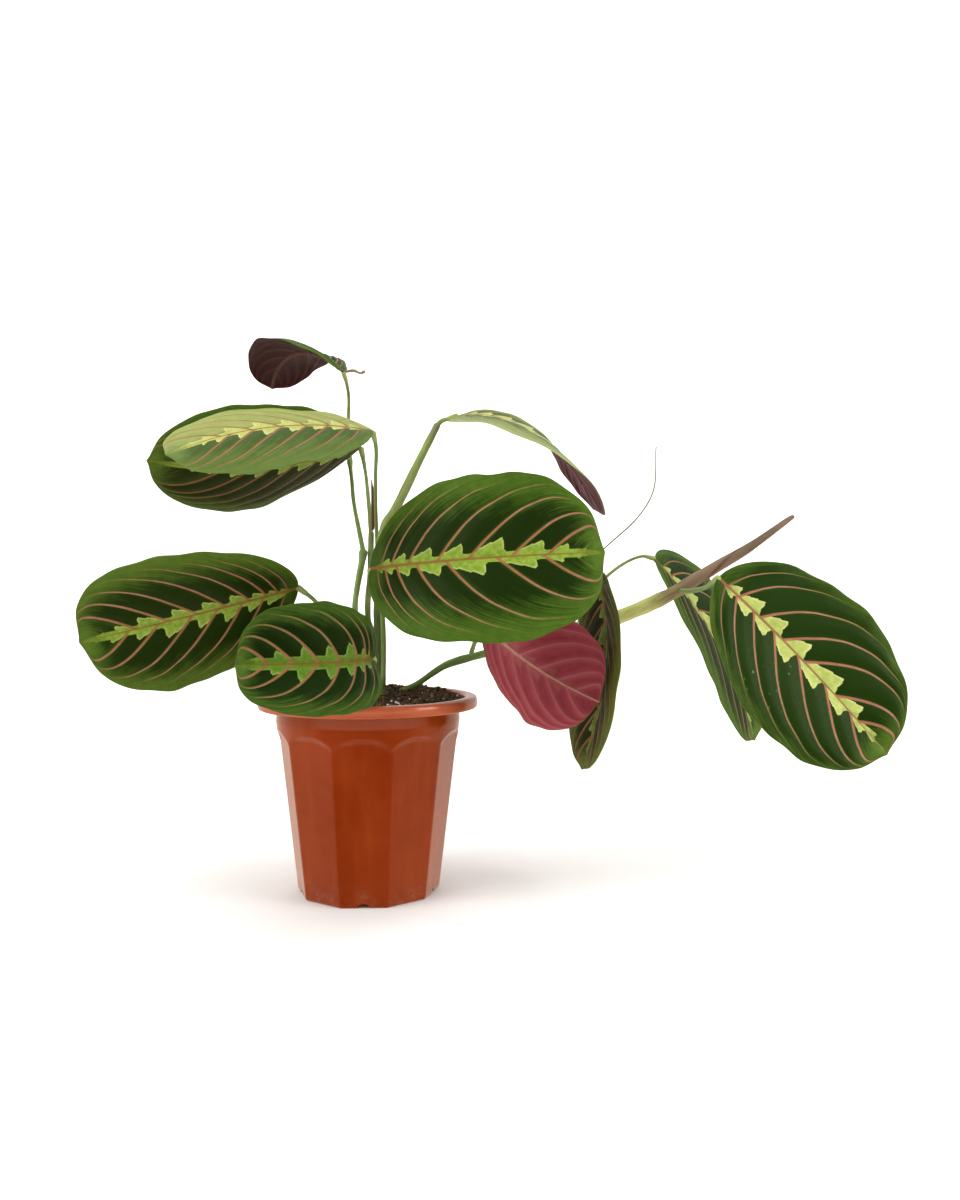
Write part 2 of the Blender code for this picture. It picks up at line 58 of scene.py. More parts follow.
class Shade:
    """Builds one Principled material out of nodes."""

    def __init__(self, name):
        self.material = bpy.data.materials.new(name)
        self.material.use_nodes = True
        self.tree = self.material.node_tree
        self.shader = self.tree.nodes["Principled BSDF"]
        self.out = self.tree.nodes["Material Output"]

    def put(self, socket, value):
        if isinstance(value, bpy.types.NodeSocket):
            self.tree.links.new(value, socket)
        else:
            socket.default_value = value

    def new(self, kind, **settings):
        node = self.tree.nodes.new(kind)
        for key, value in settings.items():
            setattr(node, key, value)
        return node

    def do(self, operation, *values, clamp=False):
        node = self.new("ShaderNodeMath", operation=operation, use_clamp=clamp)
        for socket, value in zip(node.inputs, values):
            self.put(socket, value)
        return node.outputs[0]

    def read(self, name, vector=False):
        node = self.new("ShaderNodeAttribute", attribute_name=name, attribute_type="GEOMETRY")
        return node.outputs["Vector" if vector else "Fac"]

    def place(self):
        return self.new("ShaderNodeTexCoord").outputs["Object"]

    def vector(self, x, y, z):
        node = self.new("ShaderNodeCombineXYZ")
        for socket, value in zip(node.inputs, (x, y, z)):
            self.put(socket, value)
        return node.outputs[0]

    def scaled(self, vector, scale, shift=(0, 0, 0)):
        node = self.new("ShaderNodeMapping")
        self.put(node.inputs["Vector"], vector)
        node.inputs["Scale"].default_value = scale
        node.inputs["Location"].default_value = shift
        return node.outputs[0]

    def noise(self, vector, scale, detail=3.0, rough=0.5, bend=0.0):
        node = self.new("ShaderNodeTexNoise")
        self.put(node.inputs["Vector"], vector)
        node.inputs["Scale"].default_value = scale
        node.inputs["Detail"].default_value = detail
        node.inputs["Roughness"].default_value = rough
        node.inputs["Distortion"].default_value = bend
        return node.outputs[0]

    def cells(self, vector, scale, feature="F1"):
        node = self.new("ShaderNodeTexVoronoi", feature=feature)
        self.put(node.inputs["Vector"], vector)
        node.inputs["Scale"].default_value = scale
        return node.outputs["Distance"]

    def rise(self, value, low, high, to_low=0.0, to_high=1.0):
        """Smooth step from low to high."""
        node = self.new("ShaderNodeMapRange", interpolation_type="SMOOTHSTEP")
        for socket, number in zip(node.inputs, (value, low, high, to_low, to_high)):
            self.put(socket, number)
        return node.outputs[0]

    def mix(self, share, first, second, blend="MIX"):
        node = self.new("ShaderNodeMix", data_type="RGBA", blend_type=blend, clamp_factor=True)
        self.put(node.inputs["Factor"], share)
        self.put(node.inputs[6], first)
        self.put(node.inputs[7], second)
        return node.outputs[2]

    def bump(self, height, strength, distance_mm, after=None):
        node = self.new("ShaderNodeBump")
        node.inputs["Strength"].default_value = strength
        node.inputs["Distance"].default_value = distance_mm * MM
        self.put(node.inputs["Height"], height)
        if after is not None:
            self.put(node.inputs["Normal"], after)
        return node.outputs[0]

    def done(self, colour, rough, normal=None, **others):
        self.put(self.shader.inputs["Base Color"], colour)
        self.put(self.shader.inputs["Roughness"], rough)
        if normal is not None:
            self.put(self.shader.inputs["Normal"], normal)
        for key, value in others.items():
            self.put(self.shader.inputs[key.replace("_", " ")], value)
        return self.material

    def glow(self, colour, share):
        """Lets some light through a thin blade."""
        leaf = self.new("ShaderNodeBsdfTranslucent")
        self.put(leaf.inputs["Color"], colour)
        mixed = self.new("ShaderNodeMixShader")
        mixed.inputs[0].default_value = share
        self.put(mixed.inputs[1], self.shader.outputs[0])
        self.put(mixed.inputs[2], leaf.outputs[0])
        self.put(self.out.inputs["Surface"], mixed.outputs[0])


# ------------------------------------------------------------------ mesh helpers


def new_mesh(name, points_mm, faces, materials, smooth=True):
    mesh = bpy.data.meshes.new(name)
    points = np.asarray(points_mm, float) * MM
    faces = np.asarray(faces, np.int32)
    size = faces.shape[1]
    mesh.vertices.add(len(points))
    mesh.vertices.foreach_set("co", points.ravel())
    mesh.loops.add(faces.size)
    mesh.loops.foreach_set("vertex_index", faces.ravel())
    mesh.polygons.add(len(faces))
    mesh.polygons.foreach_set("loop_start", np.arange(0, faces.size, size, dtype=np.int32))
    if smooth:
        mesh.polygons.foreach_set("use_smooth", np.ones(len(faces), bool))
    mesh.update(calc_edges=True)
    for material in materials:
        mesh.materials.append(material)
    obj = bpy.data.objects.new(name, mesh)
    LINK(obj)
    return obj


def give(obj, name, values):
    """A float or vector value for each vertex."""
    values = np.asarray(values, np.float32)
    kind = "FLOAT" if values.ndim == 1 else "FLOAT_VECTOR"
    attribute = obj.data.attributes.new(name, kind, "POINT")
    attribute.data.foreach_set("value" if values.ndim == 1 else "vector", values.ravel())


def settle(piece, node):
    """The piece stands for this CAD node: it hangs under the root body and the CAD part is hidden."""
    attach(piece, "root")
    if node:
        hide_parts(node)
    return piece


def step(x, low, high):
    x = np.clip((np.asarray(x, float) - low) / (high - low), 0, 1)
    return x * x * (3 - 2 * x)


# ------------------------------------------------------------------ camera, light and floor

camera_data = bpy.data.cameras.new("camera")
camera_data.lens = 29.79
camera_data.sensor_width = 36.0
camera_data.clip_start = 0.01
camera = bpy.data.objects.new("camera", camera_data)
LINK(camera)
camera.location = (0.0630, -0.562, 0.167)
camera.rotation_euler = (math.radians(90 - 0.4), 0, 0)
bpy.context.scene.camera = camera
bpy.context.scene.view_settings.view_transform = "Standard"

world = bpy.data.worlds.new("studio")
world.use_nodes = True
# an even bright room, with a dark stretch low on the near side that only the gloss picks up
tree = world.node_tree
coords = tree.nodes.new("ShaderNodeTexCoord")
parts = tree.nodes.new("ShaderNodeSeparateXYZ")
tree.links.new(coords.outputs["Generated"], parts.inputs[0])


def world_step(axis, low, high, to_low, to_high):
    node = tree.nodes.new("ShaderNodeMapRange")
    node.interpolation_type = "SMOOTHSTEP"
    for socket, number in zip(node.inputs, (0.0, low, high, to_low, to_high)):
        socket.default_value = number
    tree.links.new(parts.outputs[axis], node.inputs[0])
    return node.outputs[0]


def world_math(operation, *values):
    node = tree.nodes.new("ShaderNodeMath")
    node.operation = operation
    for socket, value in zip(node.inputs, values):
        if isinstance(value, bpy.types.NodeSocket):
            tree.links.new(value, socket)
        else:
            socket.default_value = value
    return node.outputs[0]


near = world_step(1, -0.72, -0.25, 1.0, 0.0)
low_down = world_math("MULTIPLY", world_step(2, -0.26, -0.17, 1.0, 0.0), world_step(2, -0.52, -0.45, 0.45, 1.0))
dark = world_math("MULTIPLY", near, low_down)
around_us = world_step(1, -0.6, 0.1, 0.50, 0.86)
level_ahead = world_math("MULTIPLY", near, world_math("MULTIPLY", world_step(2, -0.17, -0.12, 0.0, 1.0), world_step(2, 0.04, 0.14, 1.0, 0.0)))
around_us = world_math("ADD", around_us, world_math("MULTIPLY", level_ahead, 1.2))
low_behind = world_math("MULTIPLY", world_step(1, 0.2, 0.5, 0.0, 1.0), world_step(2, -0.08, 0.0, 1.0, 0.0))
around_us = world_math("ADD", around_us, world_math("MULTIPLY", low_behind, 0.15))
strength = world_math("MULTIPLY", around_us, world_math("SUBTRACT", 1.0, world_math("MULTIPLY", dark, 0.95)))
tree.links.new(strength, tree.nodes["Background"].inputs[1])
# what lies low down is a little warmer, as the light that comes back up off a pot like this
warmth = tree.nodes.new("ShaderNodeMix")
warmth.data_type = "RGBA"
tree.links.new(world_step(2, -0.12, 0.06, 1.0, 0.0), warmth.inputs[0])
warmth.inputs[6].default_value = (1.0, 0.975, 0.93, 1)
warmth.inputs[7].default_value = (1.0, 0.80, 0.66, 1)
tree.links.new(warmth.outputs[2], tree.nodes["Background"].inputs[0])
bpy.context.scene.world = world


def soft_light(name, place, target, size, power, tint=(1, 1, 1)):
    light = bpy.data.lights.new(name, "AREA")
    light.shape = "RECTANGLE"
    light.size, light.size_y = size
    light.energy = power
    light.color = tint
    obj = bpy.data.objects.new(name, light)
    LINK(obj)
    obj.location = place
    obj.rotation_euler = (Vector(target) - Vector(place)).to_track_quat("-Z", "Y").to_euler()
    return obj


soft_light("window_left", (-1.15, -0.75, 0.75), (0.02, 0, 0.15), (0.8, 1.0), 12.5, (1.0, 0.98, 0.94))
soft_light("window_right", (1.35, -0.55, 0.60), (0.05, 0, 0.15), (0.6, 0.9), 10.5, (1.0, 0.99, 0.97))
soft_light("sky", (0.1, -0.35, 1.5), (0.05, 0, 0.1), (1.2, 1.0), 8.5).visible_glossy = False
soft_light("backdrop_wash", (0.0, 0.7, 1.5), (0.0, 2.0, 0.9), (3.0, 0.8), 42.0).visible_glossy = False

floor_rows = [(-2.5, 0.0), (1.3, 0.0)]
floor_rows += [(1.3 + 0.7 * math.sin(math.radians(a)), 0.7 - 0.7 * math.cos(math.radians(a))) for a in range(5, 91, 5)]
floor_rows.append((2.0, 3.0))
floor_points = [(x, y * 1000, z * 1000) for y, z in floor_rows for x in (-3500, 3500)]
floor_faces = [(2 * i, 2 * i + 1, 2 * i + 3, 2 * i + 2) for i in range(len(floor_rows) - 1)]
paper = Shade("pale_paper")
grain = paper.noise(paper.place(), 60.0, 4.0, 0.6)
floor = new_mesh("floor", floor_points, floor_faces, [paper.done(paper.mix(grain, (0.91, 0.91, 0.91, 1), (0.94, 0.94, 0.935, 1)), 0.9)])
floor.visible_glossy = False


# ------------------------------------------------------------------ leaf blades: shape

BLADE_KEYS = ("x y z head pitch roll length width droop sweep twist fold_l fold_r curl_l curl_r belly full").split()
BLADES = {
    "leaf_top_left":         (-19, 35, 300, 175, 45, -54, 78, 48, 111, 16, 11, 60, -25, -37, -18, 0.50, 2.3),
    "leaf_upper_left_back":  (-10, 45, 256, 215, -22, -154, 128, 88, 34, 2, 27, 1, 2, -19, -19, 0.48, 2.0),
    "leaf_upper_left_front": (6, -35, 253, 196, 8, -23, 108, 76, 30, 21, -12, -3, 3, -17, -13, 0.52, 2.4),
    "leaf_left":             (-39, -5, 170, 210, -15, -131, 119, 84, 20, 16, 26, 8, 12, -10, -8, 0.53, 2.3),
    "leaf_front_low":        (8, -50, 133, 247, 0, -91, 79, 61, 61, 1, 10, 32, 19, 6, -1, 0.55, 2.4),
    "leaf_centre":           (4, -30, 180, -34, 5, 75, 129, 91, 47, 10, 3, 8, 10, -12, -9, 0.53, 2.4),
    "leaf_arching":          (50, 0, 267, -36, 4, 29, 107, 73, 102, 13, -45, -4, 8, -13, -5, 0.51, 2.4),
    "leaf_lower_centre":     (62, -36, 153, 45, -40, -106, 84, 69, 57, 15, 23, -6, -5, -24, -20, 0.54, 2.4),
    "leaf_hanging":          (130, -8, 179, -23, -79, 148, 112, 70, -30, -10, -4, 13, 20, -17, -14, 0.50, 2.3),
    "leaf_right_back":       (170, 48, 188, 18, -41, 33, 136, 93, 29, -21, 18, 15, 7, -11, -15, 0.49, 2.3),
    "leaf_right_front":      (187, -45, 175, -4, -43, 59, 127, 89, 7, -4, 20, 10, 9, -9, -10, 0.50, 2.1),
}

# Where the side veins leave the midrib, as shares of its length, on the left and right half of each blade.
USUAL = ((0.055, 0.115, 0.20, 0.32, 0.45, 0.60, 0.76), (0.045, 0.09, 0.15, 0.25, 0.38, 0.53, 0.68, 0.82))
VEINS = {
    "leaf_centre": ((0.057, 0.11, 0.19, 0.32, 0.45, 0.625, 0.77), (0.04, 0.08, 0.135, 0.226, 0.355, 0.564, 0.747)),
    "leaf_right_front": ((0.05, 0.115, 0.235, 0.365, 0.49, 0.68, 0.82), (0.04, 0.105, 0.20, 0.315, 0.455, 0.615, 0.77)),
    "leaf_left": ((0.06, 0.17, 0.27, 0.385, 0.50, 0.65, 0.78), (0.05, 0.10, 0.155, 0.235, 0.345, 0.475, 0.605, 0.745)),
    "leaf_front_low": ((0.05, 0.12, 0.20, 0.33, 0.49, 0.66, 0.82), (0.06, 0.10, 0.18, 0.33, 0.48, 0.64, 0.80)),
    "leaf_upper_left_front": ((0.06, 0.13, 0.215, 0.315, 0.43, 0.565, 0.68), (0.05, 0.12, 0.21, 0.33, 0.45, 0.58, 0.73)),
    "leaf_upper_left_back": ((0.06, 0.13, 0.23, 0.34, 0.44, 0.54, 0.66), (0.05, 0.11, 0.21, 0.33, 0.46, 0.60, 0.75)),
}

# The pale lobes: how far they reach against the usual, how wide the strip between them is, and how high each lobe starts.
LOBES = {
    "leaf_centre": (1.15, 1.0, 0.38), "leaf_right_front": (1.20, 0.25, 0.16), "leaf_right_back": (1.1, 0.6, 0.2), "leaf_front_low": (1.95, 2.1, 0.6),
    "leaf_left": (1.2, 1.1, 0.42), "leaf_hanging": (1.2, 1.0, 0.4), "leaf_arching": (1.3, 1.6, 0.5), "leaf_upper_left_front": (1.25, 1.2, 0.42),
}

# How a side vein runs: how far along the blade it has got at each share of the half width, for veins
# that start at these places on the midrib.
VEIN_OUT = (0.0, 0.2, 0.4, 0.55, 0.7, 0.8, 0.9, 1.0)
VEIN_RUN = {
    0.00: (0.000, 0.005, 0.012, 0.022, 0.045, 0.07, 0.11, 0.18),
    0.05: (0.050, 0.062, 0.076, 0.094, 0.135, 0.18, 0.25, 0.36),
    0.11: (0.110, 0.130, 0.160, 0.195, 0.255, 0.32, 0.41, 0.55),
    0.19: (0.190, 0.225, 0.275, 0.330, 0.410, 0.49, 0.60, 0.73),
    0.32: (0.320, 0.372, 0.435, 0.500, 0.595, 0.68, 0.785, 0.89),
    0.45: (0.450, 0.520, 0.600, 0.672, 0.770, 0.84, 0.90, 0.955),
    0.62: (0.620, 0.700, 0.780, 0.845, 0.905, 0.94, 0.965, 0.985),
    0.77: (0.770, 0.840, 0.905, 0.940, 0.968, 0.98, 0.990, 0.996),
    1.00: (1.000, 1.010, 1.020, 1.030, 1.040, 1.05, 1.060, 1.070),
}


def smooth_run(row):
    """The row read at 81 even places and rounded off, so that a vein has no corners."""
    fine = np.linspace(0, 1, 81)
    read = np.interp(fine, VEIN_OUT, row)
    padded = np.concatenate([2 * read[0] - read[6:0:-1], read, 2 * read[-1] - read[-2:-8:-1]])
    bell = np.hanning(15)[1:-1]
    return np.convolve(padded, bell / bell.sum(), "valid")


FINE_OUT = np.linspace(0, 1, 81)
FINE_RUN = {key: smooth_run(row) for key, row in VEIN_RUN.items()}


def turn(axis, degrees):
    c, s = np.cos(np.radians(degrees)), np.sin(np.radians(degrees))
    one, nil = np.ones_like(c), np.zeros_like(c)
    rows = {"x": [[one, nil, nil], [nil, c, -s], [nil, s, c]], "y": [[c, nil, s], [nil, one, nil], [-s, nil, c]], "z": [[c, -s, nil], [s, c, nil], [nil, nil, one]]}[axis]
    return np.moveaxis(np.array(rows), (0, 1), (-2, -1))


def half_width(b, s):
    q = 2 * np.clip(s, 1e-9, 1) ** (math.log(0.5) / math.log(b["belly"])) - 1
    half = np.clip(1 - np.abs(q) ** b["full"], 0, None) ** (1 / (0.87 * b["full"])) * b["width"] / 2
    # a short drawn-out point at the tip and a sliver of stalk at the base
    half = half * (1 - 0.75 * np.exp(-((1 - s) / 0.020) ** 2))
    return np.maximum(half, 0.25 + 0.45 * np.exp(-(s / 0.012) ** 2))


def blade_surface(b, along, sideways, ripple=1.0):
    """Middle surface, along the midrib by across it, and the unit normals on the upper face's side."""
    world_turn = turn("z", b["head"]) @ turn("y", -b["pitch"]) @ turn("x", b["roll"])
    fine = np.linspace(0, 1, 401)
    frames = turn("y", b["droop"] * fine) @ turn("z", b["sweep"] * fine) @ turn("x", b["twist"] * fine)
    ahead = frames[:, :, 0]
    spine = np.vstack([[0, 0, 0], np.cumsum((ahead[1:] + ahead[:-1]) / 2 * b["length"] / 400, axis=0)])
    centre = np.stack([np.interp(along, fine, spine[:, i]) for i in range(3)], -1)
    here = turn("y", b["droop"] * along) @ turn("z", b["sweep"] * along) @ turn("x", b["twist"] * along)
    half = half_width(b, along)
    share = np.abs(sideways)
    fold = np.radians(np.where(sideways > 0, b["fold_l"], b["fold_r"]))
    curl = np.radians(np.where(sideways > 0, b["curl_l"], b["curl_r"]))
    out = (np.sin(fold + curl * share) - np.sin(fold)) / curl
    up = (np.cos(fold) - np.cos(fold + curl * share)) / curl
    wide = half[:, None] * ripple
    flat = np.stack([np.zeros((len(along), len(sideways))), wide * (np.sign(sideways) * out)[None], wide * up[None]], -1)
    points = centre[:, None, :] + np.einsum("nij,nmj->nmi", here, flat)
    points = points @ world_turn.T + np.array([b["x"], b["y"], b["z"]])
    du = np.gradient(points, axis=0)
    dv = np.gradient(points, axis=1)
    normals = np.cross(du, dv)
    normals /= np.linalg.norm(normals, axis=2, keepdims=True) + 1e-12
    return points, normals, half


def vein_phase(starts, s, t):
    """Which vein a place lies on: k at the k-th side vein, and in between for places between two."""
    keys = sorted(VEIN_RUN)
    out = np.abs(t)
    found = np.empty((len(s), len(out)))
    marks = [0.0, *starts, 1.0]
    steps = [0.0, *range(1, len(starts) + 1), len(starts) + 0.49]
    for j, o in enumerate(out):
        run = [np.interp(o, FINE_OUT, FINE_RUN[k]) for k in keys]
        start = np.interp(s, run, keys)
        found[:, j] = np.interp(start, marks, steps)
    return found


def lime_band(starts, s, t, half, length, seed, lobe=(1.0, 1.0, 0.42)):
    """How far inside the pale band along the midrib a place is, in millimetres. Each lobe rises from its vein and drops before the next."""
    rng = np.random.default_rng(seed)
    reach, strip, begins = lobe
    x = s[:, None] * length
    y = np.abs(t)[None, :] * half[:, None]
    widest = half.max()
    # the narrow part of the band
    found = (strip * np.interp(s, (0, 0.05, 0.3, 0.8, 0.9, 1.0), (0.05, 0.085, 0.062, 0.06, 0.075, 0.05)) * half)[:, None] - y
    keys = sorted(VEIN_RUN)
    marks = [*starts, min(starts[-1] + 0.10, 0.92)]
    for k in range(len(marks)):
        a = marks[k]
        b = marks[k + 1] if k + 1 < len(marks) else min(a + 0.06, 0.985)
        gap = b - a
        peak = a + gap * rng.uniform(0.80, 0.92)
        here = np.interp(peak, s, half)
        size = np.interp(peak, (0.0, 0.08, 0.2, 0.5, 0.72, 0.85, 0.95), (0.13, 0.16, 0.185, 0.185, 0.17, 0.13, 0.07)) * rng.uniform(0.88, 1.14) * here * reach
        rises = np.clip((s - a) / (peak - a), 0, 1)
        top = size * (begins + (1 - begins) * rises ** (1.25 if begins > 0.3 else 0.72))
        # little teeth along the lobe's outer edge
        top = top + 0.085 * size * (np.mod(rises * 3.0 + 0.05, 1.0) - 0.6) * step(rises, 0.15, 0.4)
        run = np.interp(y / np.maximum(half, 1e-6)[:, None], VEIN_OUT, [np.interp(a, keys, [VEIN_RUN[q][i] for q in keys]) for i in range(len(VEIN_OUT))])
        low = np.clip(y / size, 0, 1)
        drop = peak * length + 1.6 * np.clip(0.35 - low, 0, 1) / 0.35 + 0.55 * (np.mod(low * 2.2 + 0.2, 1.0) - 0.5) - 0.7 * low**4
        inside = np.minimum(np.minimum(top[:, None] - y, drop - x), (x - run * length) * 0.8 + 0.5)
        found = np.maximum(found, inside)
    return found


def blade_grid():
    n = 150
    along = (1 - np.cos(np.pi * np.linspace(0, 1, n))) / 2 * 0.35 + np.linspace(0, 1, n) * 0.65
    m = 55
    one = np.linspace(0, 1, m)
    one = one * 0.62 + 0.38 * one ** 2.2
    sideways = np.concatenate([-one[:0:-1], one])
    return along, sideways


def leaf(name, number, upper, lower):
    b = dict(zip(BLADE_KEYS, BLADES[name]))
    along, sideways = blade_grid()
    n, m = len(along), len(sideways)
    bends = np.random.default_rng(400 + number).uniform(0, 2 * np.pi, 3)
    calm = (step(along, 0.02, 0.15) * (1 - step(along, 0.85, 0.98)))[:, None]
    ripple = 1 + calm * (sideways**2)[None] * (0.014 * np.sin(2 * np.pi * 2.7 * along[:, None] + bends[0] + 2.1 * np.sign(sideways)) + 0.009 * np.sin(2 * np.pi * 6.1 * along[:, None] + bends[1] + 1.1 * np.sign(sideways)))
    points, normals, half = blade_surface(b, along, sideways, ripple)
    left, right = VEINS.get(name, USUAL)
    rng = np.random.default_rng(100 + number)
    phase_l = vein_phase(left, along, sideways)
    phase_r = vein_phase(right, along, sideways)
    is_left = sideways > 0
    phase = np.where(is_left[None, :], phase_l, phase_r)
    lobe = LOBES.get(name, (1.0, 1.0, 0.42))
    band = np.where(is_left[None, :], lime_band(left, along, sideways, half, b["length"], 200 + number, lobe), lime_band(right, along, sideways, half, b["length"], 300 + number, lobe))
    # how fast the phase changes across a vein, per millimetre
    def slope(p):
        du = np.linalg.norm(np.gradient(points, axis=0), axis=2) + 1e-9
        dv = np.linalg.norm(np.gradient(points, axis=1), axis=2) + 1e-9
        return np.sqrt((np.gradient(p, axis=0) / du) ** 2 + (np.gradient(p, axis=1) / dv) ** 2)
    grade = np.where(is_left[None, :], slope(phase_l), slope(phase_r))
    grade = np.clip(grade, 0.02, 1.2)
    away = np.abs(phase - np.round(phase)) / grade
    y = np.abs(sideways)[None, :] * half[:, None]
    s2 = np.repeat(along[:, None], m, 1)
    t2 = np.repeat(sideways[None, :], n, 0)
    real_vein = (np.round(phase) >= 1)
    ends = step(s2, 0.0, 0.06) * (1 - step(s2, 0.93, 1.0))
    puff = 0.55 * np.sin(np.pi * (phase % 1.0)) ** 2 * step(y, 0.5, 9.0) * (1 - step(np.abs(t2), 0.72, 1.0)) * ends
    groove = -0.16 * np.exp(-(away / 0.9) ** 2) * real_vein * (1 - step(np.abs(t2), 0.75, 0.97)) * ends
    middle = -0.35 * np.exp(-(y / 1.4) ** 2) * ends
    turns, lift = rng.uniform(0, 2 * np.pi, 4), rng.uniform(0.7, 1.1)
    wave = lift * np.abs(t2) ** 2.2 * (0.55 * np.sin(2 * np.pi * 2.1 * s2 + turns[0] + np.sign(t2) * 1.3) + 0.35 * np.sin(2 * np.pi * 4.3 * s2 + turns[1] + np.sign(t2) * 0.7)) * step(s2, 0, 0.1) * (1 - step(s2, 0.9, 1.0))
    surface = points + normals * (puff + groove + middle + wave)[:, :, None]
    thick = 0.20 + 0.08 * np.exp(-(y / 6.0) ** 2)
    rib = (0.95 - 0.55 * s2) * np.exp(-(y / (1.15 - 0.5 * s2)) ** 2) * (1 - 0.8 * step(s2, 0.9, 1.0))
    side_rib = 0.22 * np.exp(-(away / 0.55) ** 2) * real_vein * (1 - step(np.abs(t2), 0.7, 0.95)) * ends
    top = surface + normals * thick[:, :, None]
    bottom = surface - normals * (thick + rib + side_rib)[:, :, None]
    vertices = np.concatenate([top.reshape(-1, 3), bottom.reshape(-1, 3)])
    at = np.arange(n * m).reshape(n, m)
    a, c, d, e = at[:-1, :-1].ravel(), at[1:, :-1].ravel(), at[1:, 1:].ravel(), at[:-1, 1:].ravel()
    upper_faces = np.stack([a, c, d, e], 1)
    lower_faces = np.stack([a, e, d, c], 1) + n * m
    loop = np.concatenate([at[:-1, 0], at[-1, :-1], at[:0:-1, -1], at[0, :0:-1]])
    nxt = np.roll(loop, -1)
    rim = np.stack([nxt, loop, loop + n * m, nxt + n * m], 1)
    faces = np.concatenate([upper_faces, rim, lower_faces])
    piece = new_mesh("blade_" + name[5:], vertices, faces, [upper, lower])
    kinds = np.zeros(len(faces), np.int32)
    kinds[len(upper_faces) + len(rim):] = 1
    piece.data.polygons.foreach_set("material_index", kinds)
    two = lambda v: np.concatenate([v.ravel(), v.ravel()])
    give(piece, "along", two(s2))
    give(piece, "across", two(t2))
    give(piece, "out_mm", two(y))
    give(piece, "phase", two(phase))
    give(piece, "grade", two(grade))
    give(piece, "band", two(band))
    spot = np.stack([s2 * b["length"], t2 * half[:, None], np.full_like(s2, 37.0 * number)], -1).reshape(-1, 3)
    give(piece, "spot", np.concatenate([spot, spot + (0, 0, 400.0)]))
    streak = np.stack([phase * 9.0, np.abs(t2) * 2.4 + s2 * 1.5, np.full_like(s2, 3.7 * number) + np.sign(t2) * 11.0], -1).reshape(-1, 3)
    give(piece, "streak", np.concatenate([streak, streak + (0, 0, 40.0)]))
    # one map, upper face below and underside above
    uv = np.stack([0.01 + 0.98 * s2, 0.01 + 0.235 * (t2 + 1)], -1).reshape(-1, 2)
    uv = np.concatenate([uv, uv + (0, 0.5)])
    layer = piece.data.uv_layers.new(name="OFBake")
    layer.data.foreach_set("uv", uv[faces.ravel()].astype(np.float32).ravel())
    rim_uv = uv[rim.ravel()].reshape(-1, 4, 2)
    rim_uv[:, 2:] = rim_uv[:, :2][:, ::-1]
    start = len(upper_faces) * 4
    all_uv = uv[faces.ravel()]
    all_uv[start:start + rim.size] = rim_uv.reshape(-1, 2)
    layer.data.foreach_set("uv", all_uv.astype(np.float32).ravel())
    return settle(piece, name)


# ------------------------------------------------------------------ leaf blades: surface


def vein_masks(m, wide=0.80, thin=0.38):
    """Distance to the nearest side vein and how strongly the vein shows."""
    phase = m.read("phase")
    across = m.do("ABSOLUTE", m.read("across"))
    nearest = m.do("ROUND", phase)
    away = m.do("DIVIDE", m.do("ABSOLUTE", m.do("SUBTRACT", phase, nearest)), m.read("grade"))
    width = m.rise(across, 0.0, 0.95, wide, thin)
    line = m.do("SUBTRACT", 1.0, m.rise(m.do("DIVIDE", away, width), 0.55, 1.25))
    real = m.do("GREATER_THAN", nearest, 0.5)
    line = m.do("MULTIPLY", line, real)
    return phase, across, away, line


